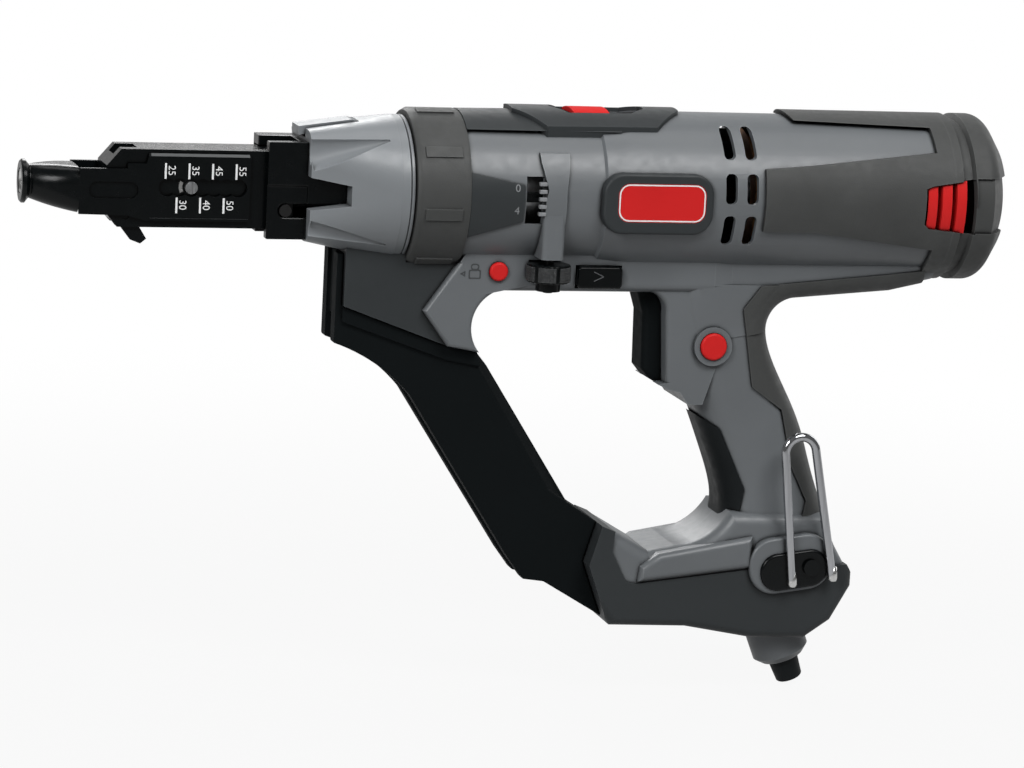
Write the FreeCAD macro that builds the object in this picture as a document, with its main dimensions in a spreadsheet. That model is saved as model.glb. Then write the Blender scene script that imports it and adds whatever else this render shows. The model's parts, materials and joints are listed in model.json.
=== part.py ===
import FreeCAD
import Part
import math
import os
import re
import Sketcher

# Auto-feed drywall screwdriver. Origin at the middle of the nosepiece mouth on the
# drive axis, X back along the axis to the motor, Z up, left side of the tool at -Y.

V = FreeCAD.Vector
DOC = FreeCAD.newDocument("drywall_screwdriver")
SHEET = DOC.addObject("Spreadsheet::Sheet", "Sizes")

# Lengths and radii in millimetres.
SIZES = [
    # stations along the drive axis
    ("bracket_front", 102.0),
    ("cone_front", 119.0),
    ("cone_length", 44.0),
    ("collar_length", 23.0),
    ("gear_length", 62.0),
    ("barrel_length", 154.0),
    ("cap_length", 28.0),
    # housing tube
    ("barrel_radius", 34.6),
    ("gear_step", 2.0),
    ("collar_step", 1.6),
    ("cone_radius", 31.0),
    ("cap_step", 2.0),
    ("barrel_wall", 2.8),
    ("gear_wall", 2.8),
    ("cap_wall", 4.4),
    ("cap_taper", 8.5),
    ("cap_shrink", 12.6),
    ("cap_round", 7.0),
    ("cap_back", 4.0),
    ("groove_front", 3.5),
    ("groove_wide", 6.0),
    ("groove_deep", 2.4),
    ("claw_front", 10.0),
    ("claw_half", 12.0),
    ("claw_deep", 1.2),
    ("fin_front", 12.5),
    ("fin_wide", 4.4),
    ("fin_pitch", 6.7),
    ("fin_sink", 1.2),
    ("overmould_skin", 2.0),
    ("grip_skin", 1.0),
    ("panel_skin", 0.9),
    ("shoulder_front", 3.2),
    ("shoulder_lip", 1.1),
    ("shoulder_back", 9.5),
    ("bar_tall", 5.0),
    ("bar_long", 16.0),
    ("bar_proud", 0.7),
    ("bar_place", 3.5),
    ("vent_wide", 5.2),
    ("vent_tall", 13.0),
    ("vent_corner", 2.2),
    ("guide_bevel", 4.5),
    ("band_tall", 7.0),
    ("band_proud", 1.3),
    # half widths of the lower structure
    ("spine_half", 20.0),
    ("arm_half", 20.0),
    ("tail_half", 19.0),
    ("base_half", 22.0),
    ("guard_half", 23.0),
    ("guide_half", 13.0),
    ("panel_half", 16.0),
    ("channel_half", 5.5),
    ("channel_deep", 12.0),
    ("edge_round", 4.0),
    ("arm_round", 2.0),
    ("arm_bow", 17.0),
    ("tail_bow", 13.5),
    ("base_bow", 29.0),
    ("jaw_half", 18.0),
    ("jaw_bow", 9.0),
    ("jaw_round", 2.0),
    ("tail_round", 8.0),
    ("base_round", 6.0),
    ("running_gap", 0.3),
    ("press_gap", 0.02),
    # wall of the hollow handle
    ("grip_wall", 3.4),
    # nose
    ("rim_radius", 9.2),
    ("rim_thick", 2.5),
    ("neck_radius", 7.2),
    ("mouth_radius", 5.4),
    ("mouth_length", 6.0),
    ("tube_length", 23.0),
    ("cheek_half", 14.0),
    ("cheek_thick", 1.8),
    ("tube_top", 7.5),
    ("tube_bottom", 11.8),
    ("cheek_rear", 95.0),
    ("cheek_top", 14.1),
    ("cheek_bottom", 14.1),
    ("cheek_step", 51.0),
    ("cheek_fold", 1.1),
    ("pill_place", 37.4),
    ("pill_height", -1.5),
    ("pill_long", 20.8),
    ("pill_tall", 7.0),
    ("pill_deep", 1.0),
    ("scale_first", 60.0),
    ("scale_pitch", 5.0),
    ("scale_count", 7.0),
    ("detent_radius", 3.8),
    ("pin_radius", 2.6),
    ("pin_place", 70.0),
    # slide
    ("slide_front", 34.5),
    ("slide_rear", 114.0),
    ("slide_top", 15.6),
    ("slide_bottom", 17.2),
    ("slide_half", 11.9),
    ("strip_front", 38.0),
    ("strip_rear", 48.0),
    ("strip_half", 6.0),
    ("bit_bore", 4.2),
    ("spring_bore", 8.4),
    ("spring_seat", 62.0),
    ("roller_place", 110.0),
    ("roller_drop", 8.8),
    ("roller_radius", 2.6),
    ("stroke", 50.0),
    ("sprocket_place", 53.0),
    ("sprocket_drop", 11.5),
    ("sprocket_radius", 6.4),
    ("sprocket_half", 3.0),
    ("axle_radius", 1.5),
    ("pawl_place", 43.0),
    ("pawl_drop", 12.5),
    ("pawl_side", 9.0),
    ("pawl_thick", 2.4),
    # feed bracket and cone
    ("bracket_half", 17.0),
    ("bracket_top", 20.2),
    ("bracket_bottom", 21.0),
    ("bracket_wall", 1.8),
    ("bracket_rear", 166.0),
    ("tab_reach", 2.7),
    ("tab_rise", 3.2),
    ("tab_thick", 3.7),
    ("tab_floor", 1.2),
    ("tab_long", 20.0),
    ("cone_half", 24.0),
    ("cone_top", 25.2),
    ("cone_bottom", 22.0),
    ("cone_corner", 11.0),
    ("cone_band", 6.0),
    ("notch_depth", 17.0),
    ("flute_long", 33.6),
    ("flute_upper", 8.4),
    ("flute_lower", 5.5),
    ("flute_tip", 0.5),
    ("tab_half", 7.0),
    # drive train
    ("bit_tip", 50.0),
    ("bit_flats", 6.35),
    ("bit_neck", 2.6),
    ("case_lead", 7.0),
    ("spindle_lead", 13.0),
    ("spindle_radius", 7.0),
    ("spindle_bearing_radius", 11.0),
    ("sun_teeth", 12.0),
    ("planet_teeth", 18.0),
    ("gear_width", 12.0),
    ("gear_lead", 8.0),
    ("ring_room", 5.8),
    ("pin_size", 2.5),
    ("plate_lead", 28.0),
    ("shaft_radius", 5.0),
    ("motor_bearing_radius", 11.0),
    ("rear_bearing_radius", 9.5),
    ("journal_radius", 4.0),
    ("fan_lead", 48.0),
    ("fan_width", 15.0),
    ("fan_room", 3.3),
    ("core_lead", 70.0),
    ("core_tail", 36.0),
    ("air_gap", 0.8),
    ("field_thick", 12.0),
    ("commutator_tail", 30.0),
    ("commutator_length", 16.0),
    ("commutator_radius", 11.0),
    ("rear_bearing_tail", 8.0),
    ("bearing_width", 8.0),
    ("running_fit", 0.04),
    # controls
    ("trigger_half", 9.0),
    ("trigger_rear", 105.0),
    ("switch_rear", 136.0),
    ("switch_top", -52.0),
    ("switch_bottom", -84.0),
    ("switch_half", 6.5),
    ("trigger_travel", 6.5),
    ("lock_radius", 6.0),
    ("lock_place", 114.8),
    ("lock_height", -65.0),
    ("lock_face", 21.6),
    ("lock_ring_radius", 8.5),
    ("lock_inner", 13.2),
    ("release_radius", 4.1),
    ("release_place", 16.8),
    ("release_height", -33.0),
    ("reverse_place", 61.3),
    ("reverse_height", -35.0),
    ("reverse_long", 20.0),
    ("reverse_tall", 9.6),
    ("reverse_proud", 3.0),
    ("wheel_radius", 9.4),
    ("wheel_top", -28.4),
    ("wheel_thick", 7.8),
    ("lead_radius", 2.0),
    ("lead_place", 37.0),
    ("lead_foot", -40.8),
    ("lead_depth", 5.6),
    ("boss_proud", 1.7),
    ("boss_face", 33.6),
    ("boss_round", 2.0),
    ("hub_radius", 5.3),
    ("hub_drop", 3.8),
    ("slider_front", 49.4),
    ("slider_rear", 65.3),
    ("slider_half", 10.0),
    ("slider_floor", 0.6),
    ("slider_lift", 0.4),
    ("slider_top", 3.4),
    ("bezel_top", 3.8),
    ("bezel_front", 22.5),
    ("bezel_front_half", 7.0),
    ("bezel_shoulder", 35.0),
    ("bezel_half", 21.0),
    ("bezel_hip", 84.0),
    ("bezel_hip_half", 20.5),
    ("bezel_rear", 97.0),
    ("bezel_rear_half", 6.0),
    ("recess_front", 40.5),
    ("recess_front_half", 3.0),
    ("recess_shoulder", 47.0),
    ("recess_half", 11.3),
    ("recess_hip", 75.0),
    ("recess_hip_half", 10.8),
    ("recess_rear", 82.0),
    ("recess_rear_half", 4.0),
    ("badge_place", 81.5),
    ("badge_height", -1.0),
    ("badge_long", 49.0),
    ("badge_tall", 26.0),
    ("badge_proud", 2.3),
    ("plate_place_back", 83.0),
    ("plate_height", -0.5),
    ("plate_long", 39.0),
    ("plate_tall", 16.6),
    # belt hook and cable entry
    ("wire_radius", 1.9),
    ("hook_lean", 7.7),
    ("hook_bend", 7.0),
    ("insert_long", 31.0),
    ("insert_tall", 16.6),
    ("insert_corner", 8.0),
    ("frame_long", 38.0),
    ("frame_tall", 25.0),
    ("frame_corner", 11.5),
    ("frame_face", 26.0),
    ("toe_half", 25.4),
    ("hook_thread", 2.2),
    ("hook_screw_cap", 3.6),
    ("hook_side", 28.6),
    ("block_face", 27.4),
    ("collar_lean", 22.0),
    ("cable_collar_radius", 12.6),
    ("cable_collar_drop", 8.5),
    ("boot_radius", 6.8),
    ("boot_tip_radius", 5.9),
    ("boot_drop", 19.5),
    ("cable_radius", 4.0),
    ("cable_place", 158.7),
    ("cable_height", -200.0),
    ("screw_radius", 1.8),
    ("screw_head", 3.4),
]

# Corners of the side outlines: back from the gear section's front, up from the axis.
CORNERS = [
    ("panel_peak", -49.0, -18.0),
    ("panel_chin", -49.0, -49.3),
    ("panel_toe", -3.6, -65.9),
    ("panel_elbow", -14.9, -50.6),
    ("panel_hip", 0.0, -29.3),
    ("panel_brow", 0.0, -18.0),
    ("arm_heel", 10.6, -68.5),
    ("arm_pit", 17.0, -41.8),
    ("arm_root", 40.0, -37.0),
    ("arm_top", 30.0, -22.0),
    ("spine_nose", 8.0, -15.0),
    ("spine_end", 114.0, -41.8),
    ("spine_roof", 114.0, -15.0),
    ("tail_front", 114.0, -20.0),
    ("tail_foot", 118.0, -62.0),
    ("tail_bend", 139.6, -58.4),
    ("tail_mid", 153.6, -43.4),
    ("base_lip", 74.4, -146.2),
    ("base_dip", 91.0, -155.8),
    ("base_floor", 103.0, -153.6),
    ("base_crook", 127.5, -138.5),
    ("base_back_top", 170.0, -139.3),
    ("base_back", 177.0, -154.0),
    ("base_back_low", 181.5, -161.5),
    ("base_mid", 137.6, -163.3),
    ("base_seam", 85.4, -169.4),
    ("base_seam_front", 80.2, -168.4),
    ("base_chin", 73.6, -155.4),
    ("guide_joint_top", 68.5, -143.8),
    ("guide_joint_mid", 63.4, -161.3),
    ("guide_joint_low", 72.7, -186.0),
    ("guard_toe", 74.5, -188.3),
    ("guard_sole", 109.0, -189.2),
    ("guard_step", 139.0, -194.6),
    ("guard_heel_low", 164.0, -195.2),
    ("guard_heel", 176.0, -187.0),
    ("guard_back_low", 184.6, -171.5),
    ("guard_back", 184.6, -166.0),
    ("guide_peak", -52.0, -27.0),
    ("guide_chin", -52.0, -65.6),
    ("guide_bend", -17.6, -88.2),
    ("guide_foot", 29.2, -159.5),
    ("guide_toe", 36.5, -169.2),
    ("guide_tip", 46.0, -170.4),
    ("guide_back_low", 54.3, -134.9),
    ("guide_back_top", 16.7, -75.7),
    ("toe_front_low", 85.4, -168.6),
    ("toe_front", 86.2, -161.6),
    ("toe_brow", 94.5, -156.0),
    ("toe_back", 137.0, -148.5),
    ("toe_back_low", 137.0, -162.6),
    ("insert_middle", 156.0, -163.1),
    ("frame_middle", 154.6, -160.6),
    ("hook_left", 154.7, -169.2),
    ("hook_right", 173.1, -166.7),
    ("hook_arch", 154.9, -110.2),
    ("hook_bolt", 163.2, -161.6),
    ("trigger_brow", 82.6, -42.2),
    ("trigger_top", 85.8, -52.4),
    ("trigger_low", 86.3, -76.8),
    ("trigger_chin", 90.0, -81.2),
    ("trigger_tip", 96.3, -84.7),
    ("trigger_heel", 98.6, -83.4),
    ("cheek_roof", 84.0, -36.0),
    ("cheek_crown", 86.0, -41.8),
    ("cheek_brow", 93.5, -51.7),
    ("cheek_lip", 95.2, -81.6),
    ("nub_tip", 91.4, -82.2),
    ("nub_low", 96.5, -84.6),
    ("cheek_chin", 101.6, -85.6),
    ("cheek_foot", 105.4, -91.0),
    ("cheek_heel", 112.0, -91.0),
    ("cheek_back", 118.0, -72.0),
    ("grip_peak", 135.1, -38.3),
    ("grip_shoulder", 127.5, -48.4),
    ("grip_waist", 134.3, -83.2),
    ("grip_hip", 149.0, -93.5),
    ("grip_thigh", 154.3, -118.0),
    ("grip_knee", 162.2, -133.7),
    ("grip_heel", 160.4, -140.4),
    ("finger_top", 104.5, -92.6),
    ("finger_shoulder", 121.1, -102.3),
    ("finger_waist", 133.6, -129.0),
    ("finger_foot", 130.7, -146.5),
    ("finger_sole", 117.0, -147.3),
    ("boss_front_top", 30.3, 19.0),
    ("boss_front_brow", 30.7, 15.0),
    ("boss_front_neck", 33.6, 3.8),
    ("boss_front_hip", 32.6, -0.2),
    ("boss_front_foot", 32.0, -26.0),
    ("boss_back_foot", 41.8, -26.0),
    ("boss_back_neck", 41.6, 3.8),
    ("boss_back_brow", 43.0, 15.0),
    ("boss_back_top", 43.3, 19.0),
    ("wedge_top", -1.0, 11.0),
    ("wedge_tail_top", 23.5, 5.9),
    ("wedge_tail_low", 23.5, -9.9),
    ("wedge_low", -1.0, -17.9),
    ("side_pad_top", 129.6, 14.3),
    ("side_pad_crest", 151.2, 16.0),
    ("top_pad_front", 147.0, 33.6),
    ("top_pad_tip", 143.0, 40.0),
    ("side_pad_low", 130.9, -12.5),
    ("side_pad_heel", 153.1, -12.6),
]

# Corners of the rear outlines: back from the rear cap's front, up from the axis.
REAR_CORNERS = [
    ("tail_far", -20.0, -39.8),
    ("tail_end", -1.0, -35.6),
    ("tail_roof", -1.0, -20.0),
    ("wing_mid", -29.0, -33.3),
    ("wing_rear", -6.0, -30.9),
    ("wing_end", -2.0, -60.0),
    ("window_front_top", -13.6, 7.3),
    ("window_brow", -10.5, 8.6),
    ("window_rear_top", 9.5, 11.6),
    ("window_rear_low", 10.5, -12.6),
    ("window_chin", -11.5, -10.2),
    ("window_front_low", -13.8, -8.0),
    ("side_pad_rear_top", -7.5, 22.2),
    ("top_pad_rear", -7.5, 32.0),
    ("side_pad_rear_low", -7.5, -20.2),
]

# Handle sections: height, front, back, width and corner radius.
GRIP_SECTIONS = [
    ("neck", -38.0, 99.0, 150.0, 39.2, 10.0),
    ("web", -62.0, 101.0, 141.0, 37.0, 11.0),
    ("palm", -86.0, 108.6, 152.2, 34.0, 12.5),
    ("finger", -104.0, 116.0, 160.8, 34.0, 13.0),
    ("small", -124.0, 123.8, 167.2, 35.0, 13.0),
    ("flare", -138.0, 126.8, 172.4, 37.0, 13.0),
    ("root", -157.0, 96.0, 177.0, 46.0, 13.0),
]

# Sizes that follow from others.
FOLLOWING = {
    "collar_front": "cone_front + cone_length",
    "gear_front": "collar_front + collar_length",
    "barrel_front": "gear_front + gear_length",
    "cap_front": "barrel_front + barrel_length",
    "cap_end": "cap_front + cap_length",
    "switch_front": "gear_front + trigger_rear + trigger_travel + 1",
    "case_front": "collar_front + case_lead",
    "spindle_front": "collar_front + spindle_lead",
    "gear_place": "barrel_front + gear_lead",
    "gear_radius": "barrel_radius - gear_step",
    "collar_radius": "gear_radius + collar_step",
    "cap_radius": "barrel_radius + cap_step",
    "motor_cavity": "barrel_radius - barrel_wall",
    "gear_cavity": "gear_radius - gear_wall",
    "ring_outer": "gear_cavity - ring_room",
    "gear_module": "ring_outer / 30",
    "plate_place": "barrel_front + plate_lead",
    "fan_place": "barrel_front + fan_lead",
    "fan_radius": "motor_cavity - fan_room",
    "core_place": "barrel_front + core_lead",
    "core_length": "barrel_length - core_lead - core_tail",
    "field_bore": "motor_cavity - field_thick",
    "core_radius": "field_bore - air_gap",
    "commutator_place": "cap_front - commutator_tail",
    "rear_bearing_place": "cap_front - rear_bearing_tail",
    "lead_side": "gear_radius - lead_depth",
    "badge_face": "barrel_radius + badge_proud",
    "bezel_radius": "gear_radius + bezel_top",
    "floor_radius": "gear_radius + slider_floor",
}


def fill_sheet():
    rows = list(SIZES)
    for name, across, up in CORNERS + REAR_CORNERS:
        rows.append((name + "_x", across))
        rows.append((name + "_z", up))
    for name, up, front, back, width, corner in GRIP_SECTIONS:
        rows.append(("grip_%s_height" % name, up))
        rows.append(("grip_%s_front" % name, front))
        rows.append(("grip_%s_back" % name, back))
        rows.append(("grip_%s_width" % name, width))
        rows.append(("grip_%s_corner" % name, corner))
    for row, (alias, amount) in enumerate(rows, start=1):
        SHEET.set("A%d" % row, alias.replace("_", " "))
        SHEET.set("B%d" % row, str(amount))
        SHEET.setAlias("B%d" % row, alias)
    DOC.recompute()


fill_sheet()

COLLAR = "collar_front"
GEAR = "gear_front"
BARREL = "barrel_front"
CAP = "cap_front"
REAR = "cap_end"
SWITCH = "switch_front"
REAR_NAMES = [row[0] for row in REAR_CORNERS]

ALONG_X = FreeCAD.Rotation(V(0, 1, 0), 90)
ALONG_Y = FreeCAD.Rotation(V(1, 0, 0), -90)
UPRIGHT = FreeCAD.Rotation()
FUNCTIONS = ("sqrt", "abs", "sin", "cos", "tan")


def spelled(text):
    """Expression with the following sizes written out."""
    def word(found):
        name = found.group(0)
        if name in FOLLOWING:
            return "(" + spelled(FOLLOWING[name]) + ")"
        return name
    return re.sub(r"[a-z][a-z_0-9]*", word, text)


def bound(text):
    """Expression on the sheet's cells."""
    def cell(word):
        if word.group(0) in FUNCTIONS:
            return word.group(0)
        return "Sizes." + word.group(0)
    return re.sub(r"[a-z][a-z_0-9]*", cell, spelled(text))


def amount(text):
    """Present value of an expression."""
    result = SHEET.evalExpression(spelled(text))
    return float(getattr(result, "Value", result))


def bind(item, **sizes):
    for name, text in sizes.items():
        item.setExpression(name, bound(text))


def put(item, x="0", y="0", z="0", turn=UPRIGHT):
    item.Placement = FreeCAD.Placement(V(amount(x), amount(y), amount(z)), turn)
    item.setExpression("Placement.Base.x", bound(x))
    item.setExpression("Placement.Base.y", bound(y))
    item.setExpression("Placement.Base.z", bound(z))
    return item


def rod(name, radius, length, x="0", y="0", z="0", turn=UPRIGHT):
    item = DOC.addObject("Part::Cylinder", name)
    bind(item, Radius=radius, Height=length)
    return put(item, x, y, z, turn)


def block(name, x, y, z):
    """Box between two faces along each axis."""
    item = DOC.addObject("Part::Box", name)
    bind(item, Length="%s - (%s)" % (x[1], x[0]))
    bind(item, Width="%s - (%s)" % (y[1], y[0]))
    bind(item, Height="%s - (%s)" % (z[1], z[0]))
    return put(item, x[0], y[0], z[0])


def fuse(name, items):
    item = DOC.addObject("Part::MultiFuse", name)
    item.Shapes = items
    return item


def cut(name, base, tools):
    item = DOC.addObject("Part::Cut", name)
    item.Base = base
    item.Tool = tools[0] if len(tools) == 1 else fuse(name + "_tools", tools)
    return item


def common(name, items):
    item = DOC.addObject("Part::MultiCommon", name)
    item.Shapes = items
    return item


def body(name):
    return DOC.addObject("PartDesign::Body", name)


def datum(owner, role):
    return [part for part in owner.Origin.OriginFeatures if part.Role == role][0]


def sketch(owner, plane, shift="0"):
    item = owner.newObject("Sketcher::SketchObject", owner.Name + "_sketch")
    item.AttachmentSupport = [(datum(owner, plane), "")]
    item.MapMode = "FlatFace"
    item.AttachmentOffset = FreeCAD.Placement(V(0, 0, amount(shift)), FreeCAD.Rotation())
    item.setExpression("AttachmentOffset.Base.z", bound(shift))
    return item


def side(name):
    """Named corner of a side outline."""
    start = CAP if name in REAR_NAMES else GEAR
    return (start + " + " + name + "_x", name + "_z")


def bowed(corner, radius):
    """Corner whose edge onward is an arc: middle on the left, or on the right if negative."""
    return (corner[0], corner[1], radius)


def outline(item, corners):
    """Closed outline whose corners are all held by the sheet."""
    places = [V(amount(corner[0]), amount(corner[1]), 0) for corner in corners]
    total = len(corners)
    first = item.GeometryCount
    for index, corner in enumerate(corners):
        start = places[index]
        end = places[(index + 1) % total]
        if len(corner) == 2:
            item.addGeometry(Part.LineSegment(start, end))
            continue
        radius = amount(corner[2])
        chord = end - start
        left = V(-chord.y, chord.x, 0).normalize() * math.copysign(1, radius)
        reach = math.sqrt(max(radius ** 2 - chord.Length ** 2 / 4, 0))
        middle = (start + end) / 2 + left * reach
        ends = [start, end] if radius > 0 else [end, start]
        angles = [math.atan2(point.y - middle.y, point.x - middle.x) for point in ends]
        if angles[1] < angles[0]:
            angles[1] += 2 * math.pi
        item.addGeometry(Part.ArcOfCircle(Part.Circle(middle, V(0, 0, 1), abs(radius)), angles[0], angles[1]))
    for index, corner in enumerate(corners):
        edge = first + index
        onward = first + (index + 1) % total
        arc = len(corner) == 3
        turned = arc and amount(corner[2]) < 0
        ahead = len(corners[(index + 1) % total]) == 3 and amount(corners[(index + 1) % total][2]) < 0
        item.addConstraint(Sketcher.Constraint("Coincident", edge, 1 if turned else 2, onward, 2 if ahead else 1))
        for kind, text in (("DistanceX", corner[0]), ("DistanceY", corner[1])):
            start_point = 2 if turned else 1
            rule = item.addConstraint(Sketcher.Constraint(kind, -1, 1, edge, start_point, amount(text)))
            item.setExpression("Constraints[%d]" % rule, bound(text))
        if arc:
            rule = item.addConstraint(Sketcher.Constraint("Radius", edge, abs(amount(corner[2]))))
            item.setExpression("Constraints[%d]" % rule, bound("abs(%s)" % corner[2]))
    return item


def ring(item, x, y, radius):
    """Circle held by the sheet."""
    edge = item.addGeometry(Part.Circle(V(amount(x), amount(y), 0), V(0, 0, 1), amount(radius)))
    for kind, text in (("DistanceX", x), ("DistanceY", y)):
        rule = item.addConstraint(Sketcher.Constraint(kind, -1, 1, edge, 3, amount(text)))
        item.setExpression("Constraints[%d]" % rule, bound(text))
    rule = item.addConstraint(Sketcher.Constraint("Radius", edge, amount(radius)))
    item.setExpression("Constraints[%d]" % rule, bound(radius))
    return item


def rounded(x, y, wide, tall, corner):
    """Corners of a rounded rectangle about a middle."""
    left = "%s - (%s) / 2" % (x, wide)
    right = "%s + (%s) / 2" % (x, wide)
    low = "%s - (%s) / 2" % (y, tall)
    high = "%s + (%s) / 2" % (y, tall)
    return [
        (left + " + " + corner, low),
        (right + " - (" + corner + ")", low, corner),
        (right, low + " + " + corner),
        (right, high + " - (" + corner + ")", corner),
        (right + " - (" + corner + ")", high),
        (left + " + " + corner, high, corner),
        (left, high + " - (" + corner + ")"),
        (left, low + " + " + corner, corner),
    ]


def pad(owner, profile, length, both=True):
    item = owner.newObject("PartDesign::Pad", owner.Name + "_pad")
    item.Profile = profile
    item.SideType = "Symmetric" if both else "One side"
    bind(item, Length=length)
    return item


def pocket(owner, profile, length, both=True):
    item = owner.newObject("PartDesign::Pocket", owner.Name + "_pocket")
    item.Profile = profile
    item.SideType = "Symmetric" if both else "One side"
    bind(item, Length=length)
    return item


def lathe(owner, profile, role="X_Axis"):
    item = owner.newObject("PartDesign::Revolution", owner.Name + "_turning")
    item.Profile = profile
    item.ReferenceAxis = (datum(owner, role), [""])
    item.Angle = 360
    return item


def loft(owner, sections, kind="AdditiveLoft"):
    item = owner.newObject("PartDesign::" + kind, owner.Name + "_loft")
    item.Profile = sections[0]
    item.Sections = sections[1:]
    return item


def soften(owner, radius, chosen):
    """Fillet on the edges of the present shape that the test picks."""
    DOC.recompute()
    tip = owner.Tip
    names = []
    for index, edge in enumerate(tip.Shape.Edges, start=1):
        if chosen(edge):
            names.append("Edge%d" % index)
    item = owner.newObject("PartDesign::Fillet", owner.Name + "_round")
    item.Base = (tip, names)
    bind(item, Radius=radius)
    return item


def bevel(owner, size, chosen):
    """Chamfer on the edges of the present shape that the test picks."""
    DOC.recompute()
    tip = owner.Tip
    names = []
    for index, edge in enumerate(tip.Shape.Edges, start=1):
        if chosen(edge):
            names.append("Edge%d" % index)
    item = owner.newObject("PartDesign::Chamfer", owner.Name + "_bevel")
    item.Base = (tip, names)
    bind(item, Size=size)
    return item


def spin(owner, features, count, role="X_Axis"):
    """Copies of features round an axis."""
    item = owner.newObject("PartDesign::PolarPattern", owner.Name + "_round_copies")
    item.Originals = features
    item.Axis = (datum(owner, role), [""])
    item.Angle = 360
    item.Occurrences = count
    owner.Tip = item
    return item


def slab(name, corners, half, shift="0"):
    """Side outline padded to both sides of the middle plane."""
    owner = body(name)
    pad(owner, outline(sketch(owner, "XZ_Plane", shift), corners), "2 * (%s)" % half)
    return owner


def turned(name, corners):
    """Outline of distance along the axis and radius, turned about the axis."""
    owner = body(name)
    lathe(owner, outline(sketch(owner, "XZ_Plane"), corners))
    return owner


def on_flank(half):
    """Edges that lie on the two outer side faces."""
    def chosen(edge):
        box = edge.BoundBox
        return box.YLength < 0.01 and abs(abs(box.YMin) - half) < 0.01
    return chosen


def handle_form(name, grow, count=7):
    """Handle lofted through its first sections, all grown by the same skin."""
    owner = body(name)
    sections = []
    for row in GRIP_SECTIONS[:count]:
        word = "grip_" + row[0]
        item = sketch(owner, "XY_Plane", word + "_height")
        middle = GEAR + " + (%s_front + %s_back) / 2" % (word, word)
        wide = "%s_back - %s_front + 2 * (%s)" % (word, word, grow)
        tall = "%s_width + 2 * (%s)" % (word, grow)
        outline(item, rounded(middle, "0", wide, tall, "(%s_corner + (%s))" % (word, grow)))
        sections.append(item)
    loft(owner, sections)
    return owner


# Outer forms of the housing before it is hollowed and parted.
def make_tube_form():
    return turned("tube_form", [
        (GEAR, "0"),
        (CAP, "0"),
        (CAP, "barrel_radius"),
        (BARREL + " + shoulder_back", "barrel_radius"),
        (BARREL + " - shoulder_front + shoulder_lip", "gear_radius + shoulder_lip"),
        (BARREL + " - shoulder_front", "gear_radius"),
        (GEAR, "gear_radius"),
    ])


def make_spine_form():
    owner = slab("spine_form", [
        side("spine_nose"), side("panel_hip"), side("arm_pit"), side("spine_end"), side("spine_roof"),
    ], "spine_half")
    low = amount("arm_pit_z")
    half = amount("spine_half")
    def chosen(edge):
        box = edge.BoundBox
        return box.YLength < 0.01 and abs(abs(box.YMin) - half) < 0.01 and box.ZMax < low + 0.1
    soften(owner, "edge_round", chosen)
    return owner


def make_arm_form():
    owner = slab("arm_form", [
        side("panel_hip"), side("panel_elbow"), side("panel_toe"), bowed(side("arm_heel"), "-arm_bow"),
        side("arm_pit"), side("arm_root"), side("arm_top"),
    ], "arm_half")
    half = amount("arm_half")
    low = amount("arm_pit_z") - 1
    def chosen(edge):
        box = edge.BoundBox
        return box.YLength < 0.01 and abs(abs(box.YMin) - half) < 0.01 and box.ZMin < low
    soften(owner, "arm_round", chosen)
    return owner


def make_jaw_form():
    """Flat cheeks of the handle on both sides of the trigger."""
    owner = slab("jaw_form", [
        side("cheek_roof"), bowed(side("cheek_crown"), "-jaw_bow"), side("cheek_brow"), side("cheek_lip"),
        side("nub_tip"), side("nub_low"), side("cheek_chin"), side("cheek_foot"), side("cheek_heel"),
        side("cheek_back"), (GEAR + " + cheek_back_x", "cheek_roof_z"),
    ], "jaw_half")
    half = amount("jaw_half")
    back = amount(GEAR + " + cheek_foot_x") + 1
    def chosen(edge):
        box = edge.BoundBox
        flank = box.YLength < 0.01 and abs(abs(box.YMin) - half) < 0.01
        return flank and box.XMax < back and box.ZLength > 9
    soften(owner, "jaw_round", chosen)
    return owner


def make_boss():
    """Raised guide of the depth screw on the left side of the gear section."""
    band = turned("boss_band", [
        (GEAR, "gear_cavity"),
        (BARREL + " - shoulder_front", "gear_cavity"),
        (BARREL + " - shoulder_front", "gear_radius + boss_proud"),
        (GEAR, "gear_radius + boss_proud"),
    ])
    words = ("front_top", "front_brow", "front_neck", "front_hip", "front_foot", "back_foot", "back_neck",
             "back_brow", "back_top")
    face = slab("boss_outline", [side("boss_" + word) for word in words], "barrel_radius + 10")
    near = block("boss_side", (GEAR, BARREL), ("-barrel_radius - 10", "-gear_radius / 4"),
                 ("boss_front_foot_z", "boss_front_top_z"))
    column = body("boss_column")
    foot = sketch(column, "XY_Plane", "boss_front_foot_z")
    left, low = side("boss_front_foot")
    right, low = side("boss_back_foot")
    outline(foot, [(left, "-boss_face"), (right, "-boss_face"), (right, "-spine_half"), (left, "-spine_half")])
    pad(column, foot, "boss_front_neck_z - boss_front_foot_z", False)
    reach = amount("boss_face")
    soften(column, "boss_round", lambda edge: edge.BoundBox.YMax < 0.01 - reach and edge.BoundBox.ZLength > 5)
    return fuse("boss_form", [common("boss_crest", [band, face, near]), column])


def make_tail_form(name, grow):
    owner = body(name)
    item = sketch(owner, "XZ_Plane")
    corners = [side("tail_front"), side("tail_foot")]
    across, up = side("tail_bend")
    corners.append((across + " + (%s)" % grow, up, "-tail_bow"))
    for word in ("tail_mid", "tail_far", "tail_end"):
        across, up = side(word)
        corners.append((across, up + " - (%s)" % grow))
    corners.append(side("tail_roof"))
    outline(item, corners)
    pad(owner, item, "2 * (tail_half + (%s))" % grow)
    half = amount("tail_half + (%s)" % grow)
    top = amount("tail_end_z") + 2
    front = amount(GEAR + " + tail_foot_x") + 1
    def chosen(edge):
        box = edge.BoundBox
        flank = box.YLength < 0.01 and abs(abs(box.YMin) - half) < 0.01
        return flank and box.ZMax < top and box.XMin > front
    soften(owner, "tail_round + (%s)" % grow, chosen)
    return owner


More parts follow.
